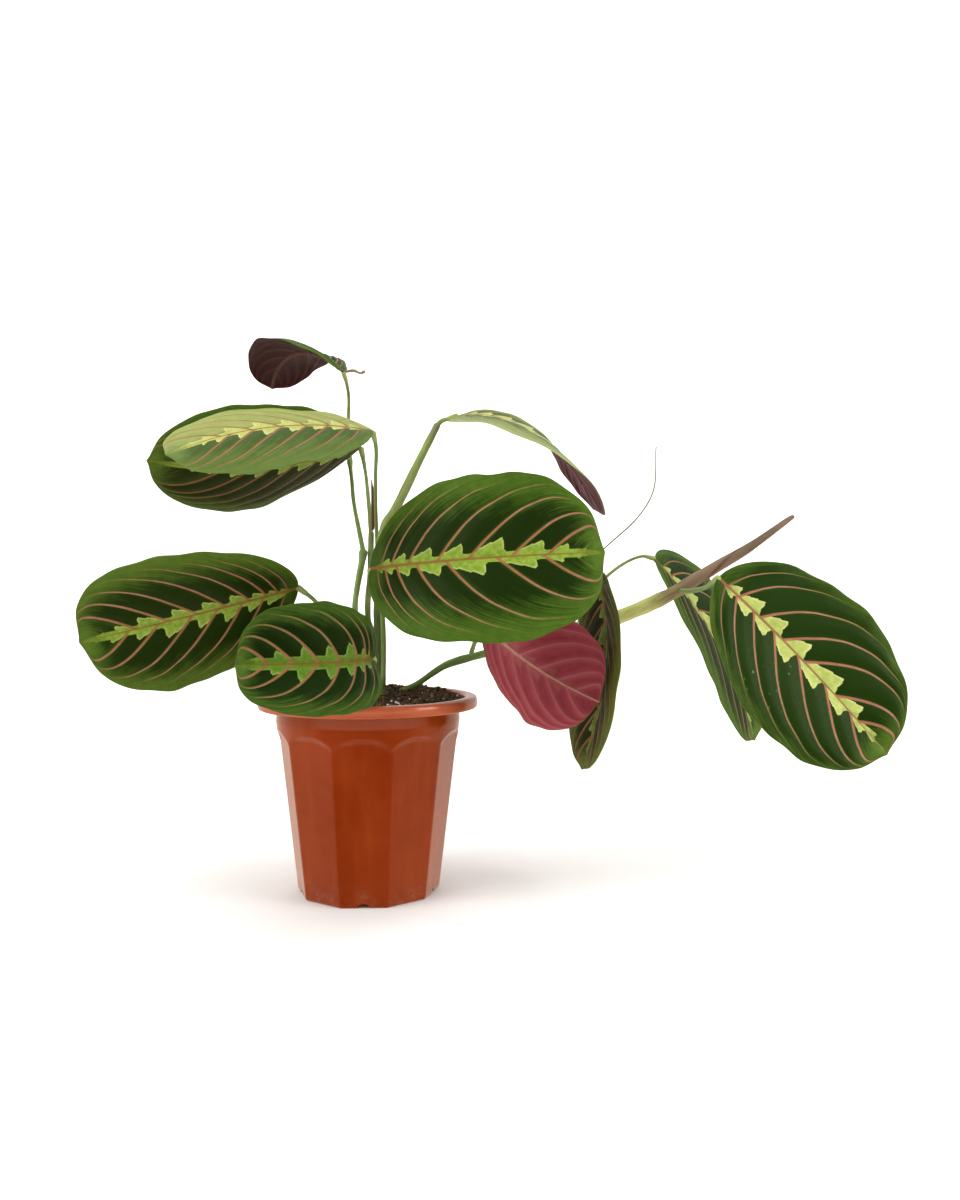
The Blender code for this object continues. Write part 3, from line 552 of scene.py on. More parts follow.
def upper_face(name, look):
    """Blackish patches between reddish veins, a pale scalloped band along the midrib, greener margins."""
    m = Shade(name)
    phase, across, away, line = vein_masks(m)
    spot, streak = m.read("spot", True), m.read("streak", True)
    along, out = m.read("along"), m.read("out_mm")
    blotch = m.noise(spot, 0.09, 3.0, 0.6)
    fine = m.noise(spot, 1.3, 4.0, 0.65)
    stripes = m.noise(m.scaled(streak, (2.2, 1.0, 1.0)), 1.0, 4.0, 0.6)
    threads = m.noise(m.scaled(streak, (6.5, 1.6, 1.0)), 1.0, 3.0, 0.6)
    # green ground, lighter towards the margin, combed along the veins
    rim = m.rise(m.do("ADD", across, m.do("MULTIPLY", m.do("SUBTRACT", stripes, 0.5), 0.35)), 0.62, 1.0)
    ground = m.mix(rim, srgb(*look["mid"]), srgb(*look["edge"]))
    ground = m.mix(m.rise(stripes, 0.38, 0.75, 0.0, 0.55), ground, srgb(*look["stripe"]))
    ground = m.mix(m.rise(threads, 0.5, 0.8, 0.0, 0.30), ground, srgb(*look["stripe"]))
    # painted sheen: on the blade half the look picks, the green is painted pale yellow-green and the dark patches
    # mostly wiped, standing in for light grazing that half
    dark_share_under_sheen = 1.0
    if look.get("painted_sheen_half"):
        painted_sheen_share = m.rise(m.do("MULTIPLY", m.read("across"), look["painted_sheen_half"]), 0.0, 0.15)
        ground = m.mix(m.do("MULTIPLY", painted_sheen_share, 0.85), ground, m.mix(stripes, srgb(150, 160, 82), srgb(182, 190, 112)))
        dark_share_under_sheen = m.rise(painted_sheen_share, 0.0, 1.0, 1.0, 0.12)
    # dark fingers
    reach = m.do("ADD", across, m.do("MULTIPLY", m.do("SUBTRACT", stripes, 0.5), 0.55))
    reach = m.do("ADD", reach, m.do("MULTIPLY", m.do("SUBTRACT", blotch, 0.5), 0.35))
    ends = m.do("MULTIPLY", m.rise(along, 0.03, 0.12), m.rise(along, 0.90, 0.975, 1.0, 0.0))
    near = look["reach"]
    dark = m.do("MULTIPLY", m.rise(reach, near - 0.17, near + 0.22, 1.0, 0.0), ends)
    u = m.do("FRACT", phase)
    hump = m.do("SINE", m.do("MULTIPLY", u, math.pi))
    dark = m.do("MULTIPLY", m.do("MULTIPLY", dark, dark_share_under_sheen), m.rise(hump, 0.0, 0.45, 0.55, 1.0))
    colour = m.mix(m.do("MULTIPLY", dark, look["depth"]), ground, srgb(*look["dark"]))
    # streaky paler green fanning out to the tip
    fan = m.do("MULTIPLY", m.rise(m.do("ADD", along, m.do("MULTIPLY", m.do("SUBTRACT", threads, 0.5), 0.22)), 0.86, 0.98), m.rise(across, 0.15, 0.9, 0.75, 0.15))
    colour = m.mix(fan, colour, srgb(*look["stripe"]))
    # pale band with torn lobes
    band = m.do("ADD", m.read("band"), m.do("MULTIPLY", m.do("SUBTRACT", fine, 0.5), 0.9))
    pale = m.rise(band, -0.10, 0.30)
    inner = m.mix(m.rise(m.noise(spot, 0.45, 3.0), 0.35, 0.7), srgb(*look["lime"]), srgb(*look["lime_low"]))
    edge_glow = m.do("MULTIPLY", m.rise(band, 0.1, 1.5, 1.0, 0.0), m.rise(out, 1.5, 5.0))
    inner = m.mix(m.do("MULTIPLY", edge_glow, 0.75), inner, srgb(*look["lime_edge"]))
    fade = m.do("MULTIPLY", m.rise(along, 0.0, 0.12), m.rise(along, 0.84, 0.97, 1.0, 0.25))
    colour = m.mix(m.do("MULTIPLY", pale, m.rise(fade, 0.0, 1.0, 0.15, 1.0)), colour, inner)
    # side veins, fading out towards the margin
    shown = m.do("MULTIPLY", line, m.rise(m.do("ADD", across, m.do("MULTIPLY", m.do("SUBTRACT", blotch, 0.5), 0.2)), 0.74, 0.98, 1.0, 0.0))
    shown = m.do("MULTIPLY", shown, m.rise(along, 0.02, 0.12, 0.25, 1.0))
    vein = m.mix(m.rise(across, 0.10, 0.55), srgb(*look["vein_in"]), srgb(*look["vein"]))
    vein = m.mix(m.rise(across, 0.55, 0.95), vein, srgb(*look["vein_out"]))
    colour = m.mix(m.do("MULTIPLY", shown, look["vein_show"]), colour, vein)
    # midrib
    rib_width = m.rise(along, 0.0, 1.0, 1.05, 0.40)
    rib = m.rise(m.do("DIVIDE", out, rib_width), 0.55, 1.15, 1.0, 0.0)
    rib = m.do("MULTIPLY", rib, m.rise(along, 0.80, 0.97, 1.0, 0.35))
    colour = m.mix(m.do("MULTIPLY", rib, 0.9), colour, srgb(*look["rib"]))
    # the thin paler line at the very margin, and a little overall unevenness
    colour = m.mix(m.rise(across, 0.985, 1.0, 0.0, 0.6), colour, srgb(*look["stripe"]))
    colour = m.mix(m.rise(m.noise(spot, 0.25, 4.0, 0.6), 0.3, 0.75, 0.0, 0.22), colour, srgb(*look["dark"]))
    if look.get("specks"):
        place_x, place_y = look["specks"]
        spread = m.do("SUBTRACT", m.read("along"), place_x)
        spread_y = m.do("SUBTRACT", m.read("across"), place_y)
        close = m.rise(m.do("SQRT", m.do("ADD", m.do("POWER", m.do("MULTIPLY", spread, 1.0), 2.0), m.do("POWER", m.do("MULTIPLY", spread_y, 0.35), 2.0))), 0.05, 0.16, 1.0, 0.0)
        dots = m.rise(m.cells(spot, 0.22), 0.10, 0.22, 1.0, 0.0)
        colour = m.mix(m.do("MULTIPLY", m.do("MULTIPLY", dots, close), 0.85), colour, srgb(120, 150, 90))
    height = m.do("ADD", m.do("MULTIPLY", threads, 0.5), m.do("MULTIPLY", fine, 0.35))
    height = m.do("SUBTRACT", height, m.do("MULTIPLY", line, 0.8))
    normal = m.bump(height, 0.35, 0.18)
    skin = m.cells(spot, 2.6)
    normal = m.bump(skin, 0.10, 0.10, normal)
    rough = m.rise(m.noise(spot, 0.6, 3.0), 0.3, 0.7, look["rough"] - 0.05, look["rough"] + 0.08)
    material = m.done(colour, rough, normal, Specular_IOR_Level=0.16, Sheen_Weight=look["sheen"], Sheen_Roughness=0.45)
    m.put(m.shader.inputs["Specular Tint"], (0.62, 0.80, 0.34, 1.0))
    m.put(m.shader.inputs["Sheen Tint"], (0.90, 0.95, 0.62, 1.0))
    m.glow(m.mix(0.35, colour, srgb(120, 170, 40)), 0.10)
    return material


def under_face(name, look):
    """Purple-red underside with raised paler veins."""
    m = Shade(name)
    phase, across, away, line = vein_masks(m, 0.70, 0.35)
    spot, streak = m.read("spot", True), m.read("streak", True)
    along, out = m.read("along"), m.read("out_mm")
    blotch = m.noise(spot, 0.12, 3.0, 0.6)
    fine = m.noise(spot, 1.4, 4.0, 0.6)
    threads = m.noise(m.scaled(streak, (5.0, 1.4, 1.0)), 1.0, 3.0, 0.6)
    colour = m.mix(m.rise(blotch, 0.3, 0.7), srgb(*look["low"]), srgb(*look["base"]))
    colour = m.mix(m.rise(threads, 0.45, 0.75, 0.0, 0.35), colour, srgb(*look["light"]))
    halo = m.rise(away, 0.4, 3.2, 0.45, 0.0)
    colour = m.mix(halo, colour, srgb(*look["light"]))
    band = m.rise(m.read("band"), -1.0, 1.5, 0.0, look["band_show"])
    colour = m.mix(band, colour, srgb(*look["band"]))
    colour = m.mix(m.rise(across, 0.93, 1.0, 0.0, 0.45), colour, srgb(*look["light"]))
    colour = m.mix(m.do("MULTIPLY", line, 0.6), colour, srgb(*look["vein"]))
    rib = m.rise(m.do("DIVIDE", out, m.rise(along, 0.0, 1.0, 1.5, 0.6)), 0.6, 1.15, 1.0, 0.0)
    colour = m.mix(m.do("MULTIPLY", rib, 0.85), colour, srgb(*look["rib"]))
    height = m.do("ADD", m.do("MULTIPLY", fine, 0.4), m.do("MULTIPLY", threads, 0.5))
    height = m.do("ADD", height, m.do("MULTIPLY", line, 0.7))
    normal = m.bump(height, 0.35, 0.18)
    rough = m.rise(fine, 0.3, 0.7, 0.38, 0.52)
    material = m.done(colour, rough, normal, Specular_IOR_Level=0.25, Sheen_Weight=0.05, Sheen_Roughness=0.5)
    m.put(m.shader.inputs["Specular Tint"], (0.95, 0.62, 0.62, 1.0))
    m.put(m.shader.inputs["Sheen Tint"], (1.0, 0.80, 0.84, 1.0))
    m.glow(m.mix(0.3, colour, srgb(150, 60, 50)), 0.10)
    return material


UPPER = {
    "dark": (16, 34, 3), "mid": (50, 76, 17), "edge": (66, 94, 26), "stripe": (90, 118, 40),
    "lime": (140, 164, 62), "lime_low": (114, 144, 48), "lime_edge": (178, 196, 112),
    "vein": (160, 112, 90), "vein_in": (148, 100, 66), "vein_out": (118, 108, 54), "vein_show": 0.95, "rib": (136, 94, 50),
    "reach": 0.58, "depth": 0.97, "rough": 0.42, "sheen": 0.0,
}
UPPER_CHANGES = {
    "leaf_centre": {"reach": 0.62},
    "leaf_right_front": {"reach": 0.94, "dark": (20, 44, 1), "mid": (32, 58, 6), "edge": (66, 88, 26), "vein": (168, 118, 96), "vein_in": (166, 104, 82), "rib": (150, 94, 72), "lime": (190, 200, 112), "lime_low": (168, 184, 92), "lime_edge": (214, 218, 146), "specks": (0.42, -0.52)},
    "leaf_right_back": {"rough": 0.58, "reach": 0.7, "dark": (22, 42, 5), "mid": (42, 68, 14), "lime": (180, 194, 112), "lime_low": (154, 174, 86), "lime_edge": (206, 214, 142)},
    "leaf_left": {"reach": 0.64, "dark": (22, 40, 3), "mid": (54, 76, 15), "edge": (80, 104, 34)},
    "leaf_front_low": {"reach": 0.74, "dark": (14, 34, 3), "mid": (38, 62, 13), "edge": (50, 76, 20), "stripe": (86, 114, 42), "lime": (102, 136, 44), "lime_low": (86, 120, 36), "lime_edge": (140, 166, 84), "rib": (128, 96, 44), "vein": (138, 104, 72)},
    # painted sheen: this blade's whole palette is painted lighter with shallower dark patches, and one half paler
    # still, for light grazing it
    "leaf_upper_left_front": {"reach": 0.45, "depth": 0.7, "dark": (54, 76, 28), "mid": (78, 100, 44), "edge": (90, 112, 52), "stripe": (112, 134, 72), "painted_sheen_half": -1.0, "vein": (166, 104, 82), "lime": (194, 196, 112), "lime_low": (176, 184, 94), "lime_edge": (216, 220, 156)},
    "leaf_upper_left_back": {"rough": 0.56, "reach": 0.80, "dark": (32, 44, 7), "mid": (54, 74, 18), "vein": (132, 92, 60), "vein_in": (132, 92, 60)},
    "leaf_hanging": {"rough": 0.62, "dark": (34, 40, 12), "mid": (66, 76, 28), "edge": (90, 98, 40), "stripe": (108, 118, 52), "vein": (156, 98, 80), "lime": (128, 142, 70), "lime_low": (104, 122, 52)},
    "leaf_arching": {"mid": (120, 138, 74), "edge": (150, 164, 100), "stripe": (170, 182, 114), "dark": (70, 90, 40), "reach": 0.4, "lime": (194, 204, 130), "lime_low": (172, 188, 104), "lime_edge": (214, 222, 154)},
}
UNDER = {"base": (126, 46, 54), "low": (110, 38, 46), "light": (146, 68, 72), "vein": (150, 78, 80), "rib": (164, 116, 96), "band": (146, 92, 84), "band_show": 0.30}
UNDER_CHANGES = {
    # painted light: this blade's underside is a paler copy of the usual one, making up for the shade it lies in under
    # the centre leaf
    "leaf_lower_centre": {"base": (152, 58, 66), "low": (136, 48, 56), "light": (174, 88, 92), "vein": (178, 98, 100), "rib": (190, 144, 120), "band": (170, 108, 100)},
    # painted shade: this blade's underside is a near-black brown copy of the magenta underside, for the shade it hangs
    # in
    "leaf_top_left": {"base": (46, 23, 17), "low": (39, 18, 13), "light": (58, 32, 25), "vein": (62, 36, 28), "rib": (82, 56, 42), "band": (57, 35, 28)},
    "leaf_arching": {"base": (74, 22, 38), "low": (60, 16, 30), "light": (92, 36, 50), "vein": (96, 44, 54), "rib": (120, 84, 66), "band": (104, 62, 60)},
}
for number, name in enumerate(BLADES):
    upper = upper_face("upper_" + name[5:], {**UPPER, **UPPER_CHANGES.get(name, {})})
    lower = under_face("under_" + name[5:], {**UNDER, **UNDER_CHANGES.get(name, {})})
    leaf(name, number, upper, lower)


# ------------------------------------------------------------------ stems, stalks, sheaths

ROUTES = {
    "stem_left": [(-3.5, 13, 109.3, 1.7), (-4, 12.5, 118, 1.6), (-6, 12, 134, 1.5), (-9, 10, 158, 1.5), (-8, 12, 170, 1.5), (-5.5, 15.5, 186, 1.8), (-5, 16, 190, 2.3)],
    "petiole_top_left": [(-4.9, 16.4, 191.0, 1.3), (-8, 23, 203, 1.1), (-13, 36, 222, 1.0), (-15.5, 47, 236, 1.0), (-17.2, 54, 244, 1.1), (-18, 57, 249, 1.5), (-18.5, 59, 255, 0.9), (-19.3, 60.5, 264, 0.9), (-19, 58, 276, 0.9), (-17.8, 50, 288, 0.9), (-18.2, 40, 296, 0.9), (-18.8, 36.2, 298.4, 1.0)],
    "stem_middle": [(1.5, 18, 109.3, 1.6), (1, 18.2, 118, 1.5), (-0.5, 18, 134, 1.5), (-2.5, 17, 158, 1.5), (-1, 17, 178, 1.5), (-0.5, 18, 201, 1.5)],
    "petiole_upper_left_back": [(-0.7, 18.6, 201.8, 1.1), (-3, 28, 219, 1.0), (-6.5, 40, 241, 0.9), (-9.5, 45, 254.5, 1.2)],
    "petiole_upper_left_front": [(3.1, 14.8, 196, 0.9), (3.2, 12, 204, 0.9), (3.6, 4, 218, 0.9), (5, -10, 232, 0.9), (7, -26, 245, 0.9), (6.4, -34.2, 251.6, 1.1)],
    "sheath_reddish": [(0.9, 13.8, 205, 0.9), (1.4, 12.5, 214, 1.3), (1.2, 10.5, 224, 1.0), (0.6, 9.5, 232, 0.3)],
    "stem_arching": [(5.5, 12.5, 109.3, 2.7), (5.2, 12, 125, 2.6), (4.5, 10.5, 147, 2.5), (4.5, 9, 163, 2.4), (5.5, 7, 186, 2.4), (9, 4.5, 205, 2.5), (14.5, 3, 214, 2.4), (29, 1, 243, 2.0), (38.3, 0, 261, 1.7)],
    "petiole_arching": [(38.7, 0, 261.7, 1.2), (41.5, 0, 264.3, 1.1), (45, 0, 265.4, 1.0), (49.2, 0, 266.8, 1.1)],
    "petiole_left": [(-3.0, 8, 109.3, 1.2), (-3.8, 7.4, 114, 1.1), (-10, 2, 127, 1.0), (-21, -3, 152, 1.0), (-30, -5, 163, 1.0), (-38.3, -5.2, 169.6, 1.2)],
    "petiole_front_low": [(2.0, 5.5, 109.4, 1.4), (2.0, 5.1, 111.5, 1.3), (4, -8, 119, 1.2), (6.5, -30, 127, 1.1), (7.8, -49, 132.6, 1.3)],
    "petiole_centre": [(7.0, 6.2, 109.3, 1.4), (7.6, 5.2, 116, 1.3), (8.6, -2, 141, 1.2), (8.3, -16, 164, 1.2), (4.6, -29, 178.9, 1.4)],
    "shoot_right": [(13.8, 20, 105.8, 2.0), (18, 20.4, 109.6, 1.9), (26, 22, 113.5, 1.8), (34, 24, 119, 1.8), (42, 25.5, 124, 2.1), (51, 27, 127.2, 2.6), (60, 28, 129.5, 2.2), (75, 29, 133.5, 2.5), (95, 31, 138.6, 3.2), (117, 32, 144, 4.0), (135, 30, 149, 4.3), (155, 22, 157, 4.3), (169, 14.5, 164, 4.1), (179, 9, 169.7, 3.7)],
    "rolled_new_leaf": [(179.8, 8.6, 170.3, 3.7), (189, 5, 176.5, 3.6), (199, 2, 183, 3.3), (209, 0, 189, 2.9), (219, -2, 195.5, 2.4), (229, -4, 203, 1.9), (236, -5.6, 208.3, 1.5), (238.2, -6, 209.8, 1.1)],
    "petiole_lower_centre": [(58, 23.4, 132.4, 1.2), (59, 18, 135.5, 1.1), (61.5, 0, 144, 1.1), (62, -20, 150, 1.1), (61.6, -34, 151.6, 1.2)],
    "petiole_hanging": [(112, 26.8, 147.4, 1.2), (115, 23, 156, 1.1), (120, 13, 170, 1.0), (125.5, 0, 179.5, 1.0), (129.3, -6.6, 181.2, 1.1)],
    "petiole_right_back": [(123, 36.8, 150, 1.1), (127, 39, 160, 0.9), (136, 42, 173, 0.8), (150, 44, 184.5, 0.8), (162, 46, 189.5, 0.8), (169.2, 47.6, 188.4, 1.0)],
    "petiole_right_front": [(178.3, 3.5, 168.2, 1.3), (181, -6, 168.2, 1.2), (185, -24, 170, 1.1), (186.8, -44, 174.4, 1.3)],
    "flower_stalk": [(84, 25.8, 138.6, 0.45), (98, 19, 158, 0.42), (118, 14, 177, 0.42), (136, 10, 194, 0.42), (154, 8, 211, 0.42), (162.5, 8, 226, 0.42), (164, 8, 251, 0.35)],
    "withered_tail": [(-17.6, 36.4, 300.3, 0.8), (-13, 37, 301, 1.0), (-9, 37, 299.5, 0.8), (-6.8, 37, 300.4, 1.1)],
}


def through(points, steps):
    """A smooth curve through the points: centripetal Catmull-Rom, with the radius carried along."""
    p = np.asarray(points, float)
    p = np.vstack([2 * p[0] - p[1], p, 2 * p[-1] - p[-2]])
    found = []
    for i in range(1, len(p) - 2):
        t = [0.0]
        for a, b in ((i - 1, i), (i, i + 1), (i + 1, i + 2)):
            t.append(t[-1] + max(np.linalg.norm(p[b, :3] - p[a, :3]), 1e-6) ** 0.5)
        for u in np.linspace(t[1], t[2], steps, endpoint=False):
            a1 = (t[1] - u) / (t[1] - t[0]) * p[i - 1] + (u - t[0]) / (t[1] - t[0]) * p[i]
            a2 = (t[2] - u) / (t[2] - t[1]) * p[i] + (u - t[1]) / (t[2] - t[1]) * p[i + 1]
            a3 = (t[3] - u) / (t[3] - t[2]) * p[i + 1] + (u - t[2]) / (t[3] - t[2]) * p[i + 2]
            b1 = (t[2] - u) / (t[2] - t[0]) * a1 + (u - t[0]) / (t[2] - t[0]) * a2
            b2 = (t[3] - u) / (t[3] - t[1]) * a2 + (u - t[1]) / (t[3] - t[1]) * a3
            found.append((t[2] - u) / (t[2] - t[1]) * b1 + (u - t[1]) / (t[2] - t[1]) * b2)
    found.append(p[-2])
    return np.array(found)


def tube(name, route, material, start=0.9, end=0.9, sides=18, steps=14, shape=None):
    """A round stalk along the route, with domed ends. start and end: how far it grows into its neighbours. shape(length so far, whole length, angle) scales the radius."""
    path = through(route, steps)
    first = path[0, :3] - path[1, :3]
    last = path[-1, :3] - path[-2, :3]
    first, last = first / np.linalg.norm(first), last / np.linalg.norm(last)
    path = np.vstack([np.append(path[0, :3] + first * start, path[0, 3]), path, np.append(path[-1, :3] + last * end, path[-1, 3])])
    domes = []
    for where, way, r in ((path[0], first, path[0, 3]), (path[-1], last, path[-1, 3])):
        domes.append([np.append(where[:3] + way * r * math.sin(a) * 0.7, r * math.cos(a)) for a in (0.45, 0.9, 1.25, 1.5)])
    path = np.vstack([domes[0][::-1], path, domes[1]])
    walked = np.concatenate([[0], np.cumsum(np.linalg.norm(np.diff(path[:, :3], axis=0), axis=1))])
    ahead = np.gradient(path[:, :3], axis=0)
    ahead /= np.linalg.norm(ahead, axis=1, keepdims=True)
    side = np.cross(ahead[0], (0.3, 0.2, 1.0))
    side /= np.linalg.norm(side)
    angles = np.linspace(0, 2 * np.pi, sides, endpoint=False)
    points, so_far = [], []
    for where, way, w in zip(path, ahead, walked):
        side = side - way * side.dot(way)
        side /= np.linalg.norm(side)
        other = np.cross(way, side)
        r = where[3] * (np.ones(sides) if shape is None else shape(w, walked[-1], angles))
        points.append(where[:3] + r[:, None] * (np.cos(angles)[:, None] * side + np.sin(angles)[:, None] * other))
        so_far.append(np.full(sides, w))
    n = len(path)
    points = np.concatenate([np.concatenate(points), [path[0, :3], path[-1, :3]]])
    at = np.arange(n * sides).reshape(n, sides)
    nxt = np.roll(at, -1, axis=1)
    quads = np.stack([at[:-1], nxt[:-1], nxt[1:], at[1:]], -1).reshape(-1, 4)
    caps = [(nxt[0, i], at[0, i], n * sides, n * sides) for i in range(sides)] + [(at[-1, i], nxt[-1, i], n * sides + 1, n * sides + 1) for i in range(sides)]
    mesh = bpy.data.meshes.new(name)
    mesh.from_pydata([tuple(p) for p in points * MM], [], [tuple(int(v) for v in q) for q in quads] + [tuple(int(v) for v in c[:3]) for c in caps])
    mesh.shade_smooth()
    mesh.materials.append(material)
    obj = bpy.data.objects.new(name, mesh)
    LINK(obj)
    so_far = np.concatenate([np.concatenate(so_far), [walked[0], walked[-1]]])
    give(obj, "walked", so_far)
    give(obj, "share", so_far / walked[-1])
    give(obj, "left_mm", walked[-1] - so_far)
    turned_by = np.concatenate([np.tile(angles, n), [0, 0]])
    give(obj, "fibre", np.stack([np.cos(turned_by) * 3.0, np.sin(turned_by) * 3.0, so_far * 0.09], -1))
    return obj


def stalk_skin(name, base, low, high, joint=None, joint_mm=0.0, red=0.0, rough=0.42, starts=None, ends=None):
    """Fleshy stalk: fine fibres along it, soft blotches, and a paler or darker joint next to the blade."""
    m = Shade(name)
    fibre = m.read("fibre", True)
    lines = m.noise(fibre, 1.6, 3.0, 0.6)
    patches = m.noise(m.place(), 70.0, 3.0, 0.6)
    grain = m.noise(m.place(), 900.0, 3.0, 0.6)
    colour = m.mix(m.rise(lines, 0.35, 0.65), srgb(*low), srgb(*base))
    colour = m.mix(m.rise(patches, 0.45, 0.75, 0.0, 0.6), colour, srgb(*high))
    if starts:
        colour = m.mix(m.rise(m.read("share"), starts[1], starts[2], 1.0, 0.0), colour, m.mix(m.rise(lines, 0.35, 0.65), srgb(*[v * 0.8 for v in starts[0]]), srgb(*starts[0])))
    if ends:
        colour = m.mix(m.rise(m.read("share"), ends[1], ends[2]), colour, m.mix(m.rise(lines, 0.35, 0.65), srgb(*[v * 0.8 for v in ends[0]]), srgb(*ends[0])))
    if red:
        blush = m.do("MULTIPLY", m.rise(m.noise(m.place(), 45.0, 3.0, 0.6), 0.45, 0.7), red)
        colour = m.mix(blush, colour, srgb(120, 62, 44))
    if joint:
        near = m.rise(m.do("ADD", m.read("left_mm"), m.do("MULTIPLY", m.do("SUBTRACT", patches, 0.5), 2.0)), joint_mm - 1.2, joint_mm + 0.8, 1.0, 0.0)
        colour = m.mix(near, colour, srgb(*joint))
    height = m.do("ADD", m.do("MULTIPLY", lines, 0.8), m.do("MULTIPLY", grain, 0.3))
    return m.done(colour, m.rise(patches, 0.3, 0.7, rough - 0.05, rough + 0.08), m.bump(height, 0.35, 0.15), Specular_IOR_Level=0.3, Subsurface_Weight=0.08, Subsurface_Scale=0.002)


def stalk_shape(joint_mm=0.0, swell=1.25, seed=0):
    rng = np.random.default_rng(seed)
    p = rng.uniform(0, 6.28, 4)

    def shape(w, whole, angles):
        ripple = 1 + 0.035 * math.sin(w * 0.23 + p[0]) + 0.02 * math.sin(w * 0.61 + p[1])
        out = ripple * (1 + 0.03 * np.sin(3 * angles + p[2]) + 0.015 * np.sin(7 * angles + p[3]))
        if joint_mm:
            left = whole - w
            out = out * (1 + (swell - 1) * float(1 - step(left, joint_mm - 1.0, joint_mm + 0.6)) * float(step(left, 0.0, 1.2) * 0.6 + 0.4))
        return out

    return shape


green = ((124, 148, 80), (98, 124, 58), (148, 168, 104))
pale_joint = (140, 152, 86)
STALKS = {
    "stem_left": (stalk_skin("stem_left_skin", (126, 152, 82), (102, 130, 62), (150, 172, 106), red=0.15, starts=((88, 112, 54), 0.1, 0.6)), 0.0, "stem"),
    "stem_middle": (stalk_skin("stem_middle_skin", (118, 142, 80), (94, 118, 58), (146, 164, 106), red=0.3, starts=((84, 106, 50), 0.1, 0.6)), 0.0, "stem"),
    "stem_arching": (stalk_skin("stem_arching_skin", (152, 174, 98), (130, 154, 78), (172, 190, 122), red=0.0, starts=((84, 106, 50), 0.25, 0.62), ends=((124, 134, 84), 0.86, 1.0)), 0.0, "stem"),
    # painted light: the greener start of the shoot is its own colour, painted lighter to make up for the shade it sits
    # in
    "shoot_right": (stalk_skin("shoot_skin", (208, 220, 136), (188, 204, 112), (220, 228, 158), red=0.0, rough=0.36, starts=((112, 142, 70), 0.25, 0.50), ends=((152, 140, 92), 0.84, 0.95)), 0.0, "young_shoot"),
    "rolled_new_leaf": (None, 0.0, "rolled_leaf"),
    "sheath_reddish": (stalk_skin("sheath_skin", (104, 66, 46), (84, 50, 34), (132, 96, 68)), 0.0, "sheath"),
    "flower_stalk": (stalk_skin("thread_skin", (104, 98, 66), (84, 78, 50), (124, 120, 84), rough=0.6), 0.0, "dry_thread"),
    "withered_tail": (stalk_skin("tail_skin", (142, 130, 108), (112, 98, 76), (176, 168, 146), rough=0.6), 0.0, "dry_thread"),
}
for index, (name, route) in enumerate(ROUTES.items()):
    if name in ("rolled_new_leaf",):
        continue
    if name in STALKS:
        skin, joint, slot = STALKS[name]
    else:
        joint, slot = 7.0, "stem"
        skin = stalk_skin(name + "_skin", *green, joint=pale_joint, joint_mm=7.0, red=0.15)
    free = name in ("flower_stalk", "withered_tail", "sheath_reddish")
    full = 1.2 if name.startswith("petiole") else 1.15 if name in ("stem_left", "stem_middle", "stem_arching") else 1.0
    route = [(x, y, z, r * full) for x, y, z, r in route]
    piece = tube(name.replace("petiole", "stalk") + "_vis", route, skin, end=0.0 if free else 0.9, shape=stalk_shape(joint, 1.2, index))
    settle(piece, name)


def rolled_leaf():
    """The new leaf, still rolled into a spear: a spiral wrap whose loose edge shows as a line round it."""
    m = Shade("spear_skin")
    share = m.read("share")
    spiral = m.read("turns")
    lines = m.noise(m.read("fibre", True), 1.5, 4.0, 0.6)
    patches = m.noise(m.place(), 60.0, 3.0, 0.6)
    colour = m.mix(m.rise(share, 0.15, 0.75), srgb(140, 114, 90), srgb(98, 80, 62))
    colour = m.mix(m.rise(lines, 0.4, 0.7, 0.0, 0.5), colour, srgb(122, 116, 80))
    colour = m.mix(m.rise(patches, 0.4, 0.7, 0.0, 0.40), colour, srgb(150, 118, 100))
    seam = m.rise(m.do("ABSOLUTE", m.do("SUBTRACT", m.do("FRACT", spiral), 0.5)), 0.42, 0.5)
    colour = m.mix(m.do("MULTIPLY", seam, 0.7), colour, srgb(70, 44, 36))
    height = m.do("ADD", lines, m.do("MULTIPLY", seam, -1.5))
    material = m.done(colour, m.rise(patches, 0.3, 0.7, 0.38, 0.5), m.bump(height, 0.5, 0.2), Specular_IOR_Level=0.5)

    def shape(w, whole, angles):
        # a step of the wrap, winding slowly round the spear
        u = ((angles / (2 * math.pi) + w / 70.0) % 1.0)
        return 0.93 + 0.13 * u + 0.02 * np.sin(5 * angles + w * 0.05)

    route = ROUTES["rolled_new_leaf"]
    piece = tube("rolled_leaf_vis", route, material, start=1.2, end=0.0, sides=64, steps=16, shape=shape)
    count = len(piece.data.vertices)
    walked = np.empty(count, np.float32)
    piece.data.attributes["walked"].data.foreach_get("value", walked)
    angles = np.concatenate([np.tile(np.linspace(0, 1, 64, endpoint=False), (count - 2) // 64), [0, 0]])
    give(piece, "turns", angles + walked / 70.0 + 0.5)
    settle(piece, "rolled_new_leaf")


rolled_leaf()


# ------------------------------------------------------------------ pot

POT_HEIGHT, POT_SIDES, POT_CORNER_ANGLE = 109.5, 10, 38.2
POT_WALL, POT_FLOOR, FOOT_RADIUS = 1.3, 2.0, 39.2
BODY_FOOT_RADIUS, BODY_FOOT_Z, BODY_TOP_RADIUS, BODY_TOP_Z = 40.2, 3.0, 50.3, 88.0
ARCH_Z, ARCH_DROP, LEDGE = 92.0, 5.0, 4.0
BAND_TOP_Z, BAND_TOP_RADIUS, LIP_RADIUS, LIP_BOTTOM_Z, MOUTH_RADIUS = 101.6, 51.3, 61.5, 103.0, 54.4
NOTCH_COUNT, NOTCH_WIDTH, NOTCH_HEIGHT = 5, 8.7, 2.5
HALF_PANEL = math.pi / POT_SIDES
POT_ANGLES = np.radians(POT_CORNER_ANGLE) + np.linspace(0, 2 * np.pi, 400, endpoint=False)


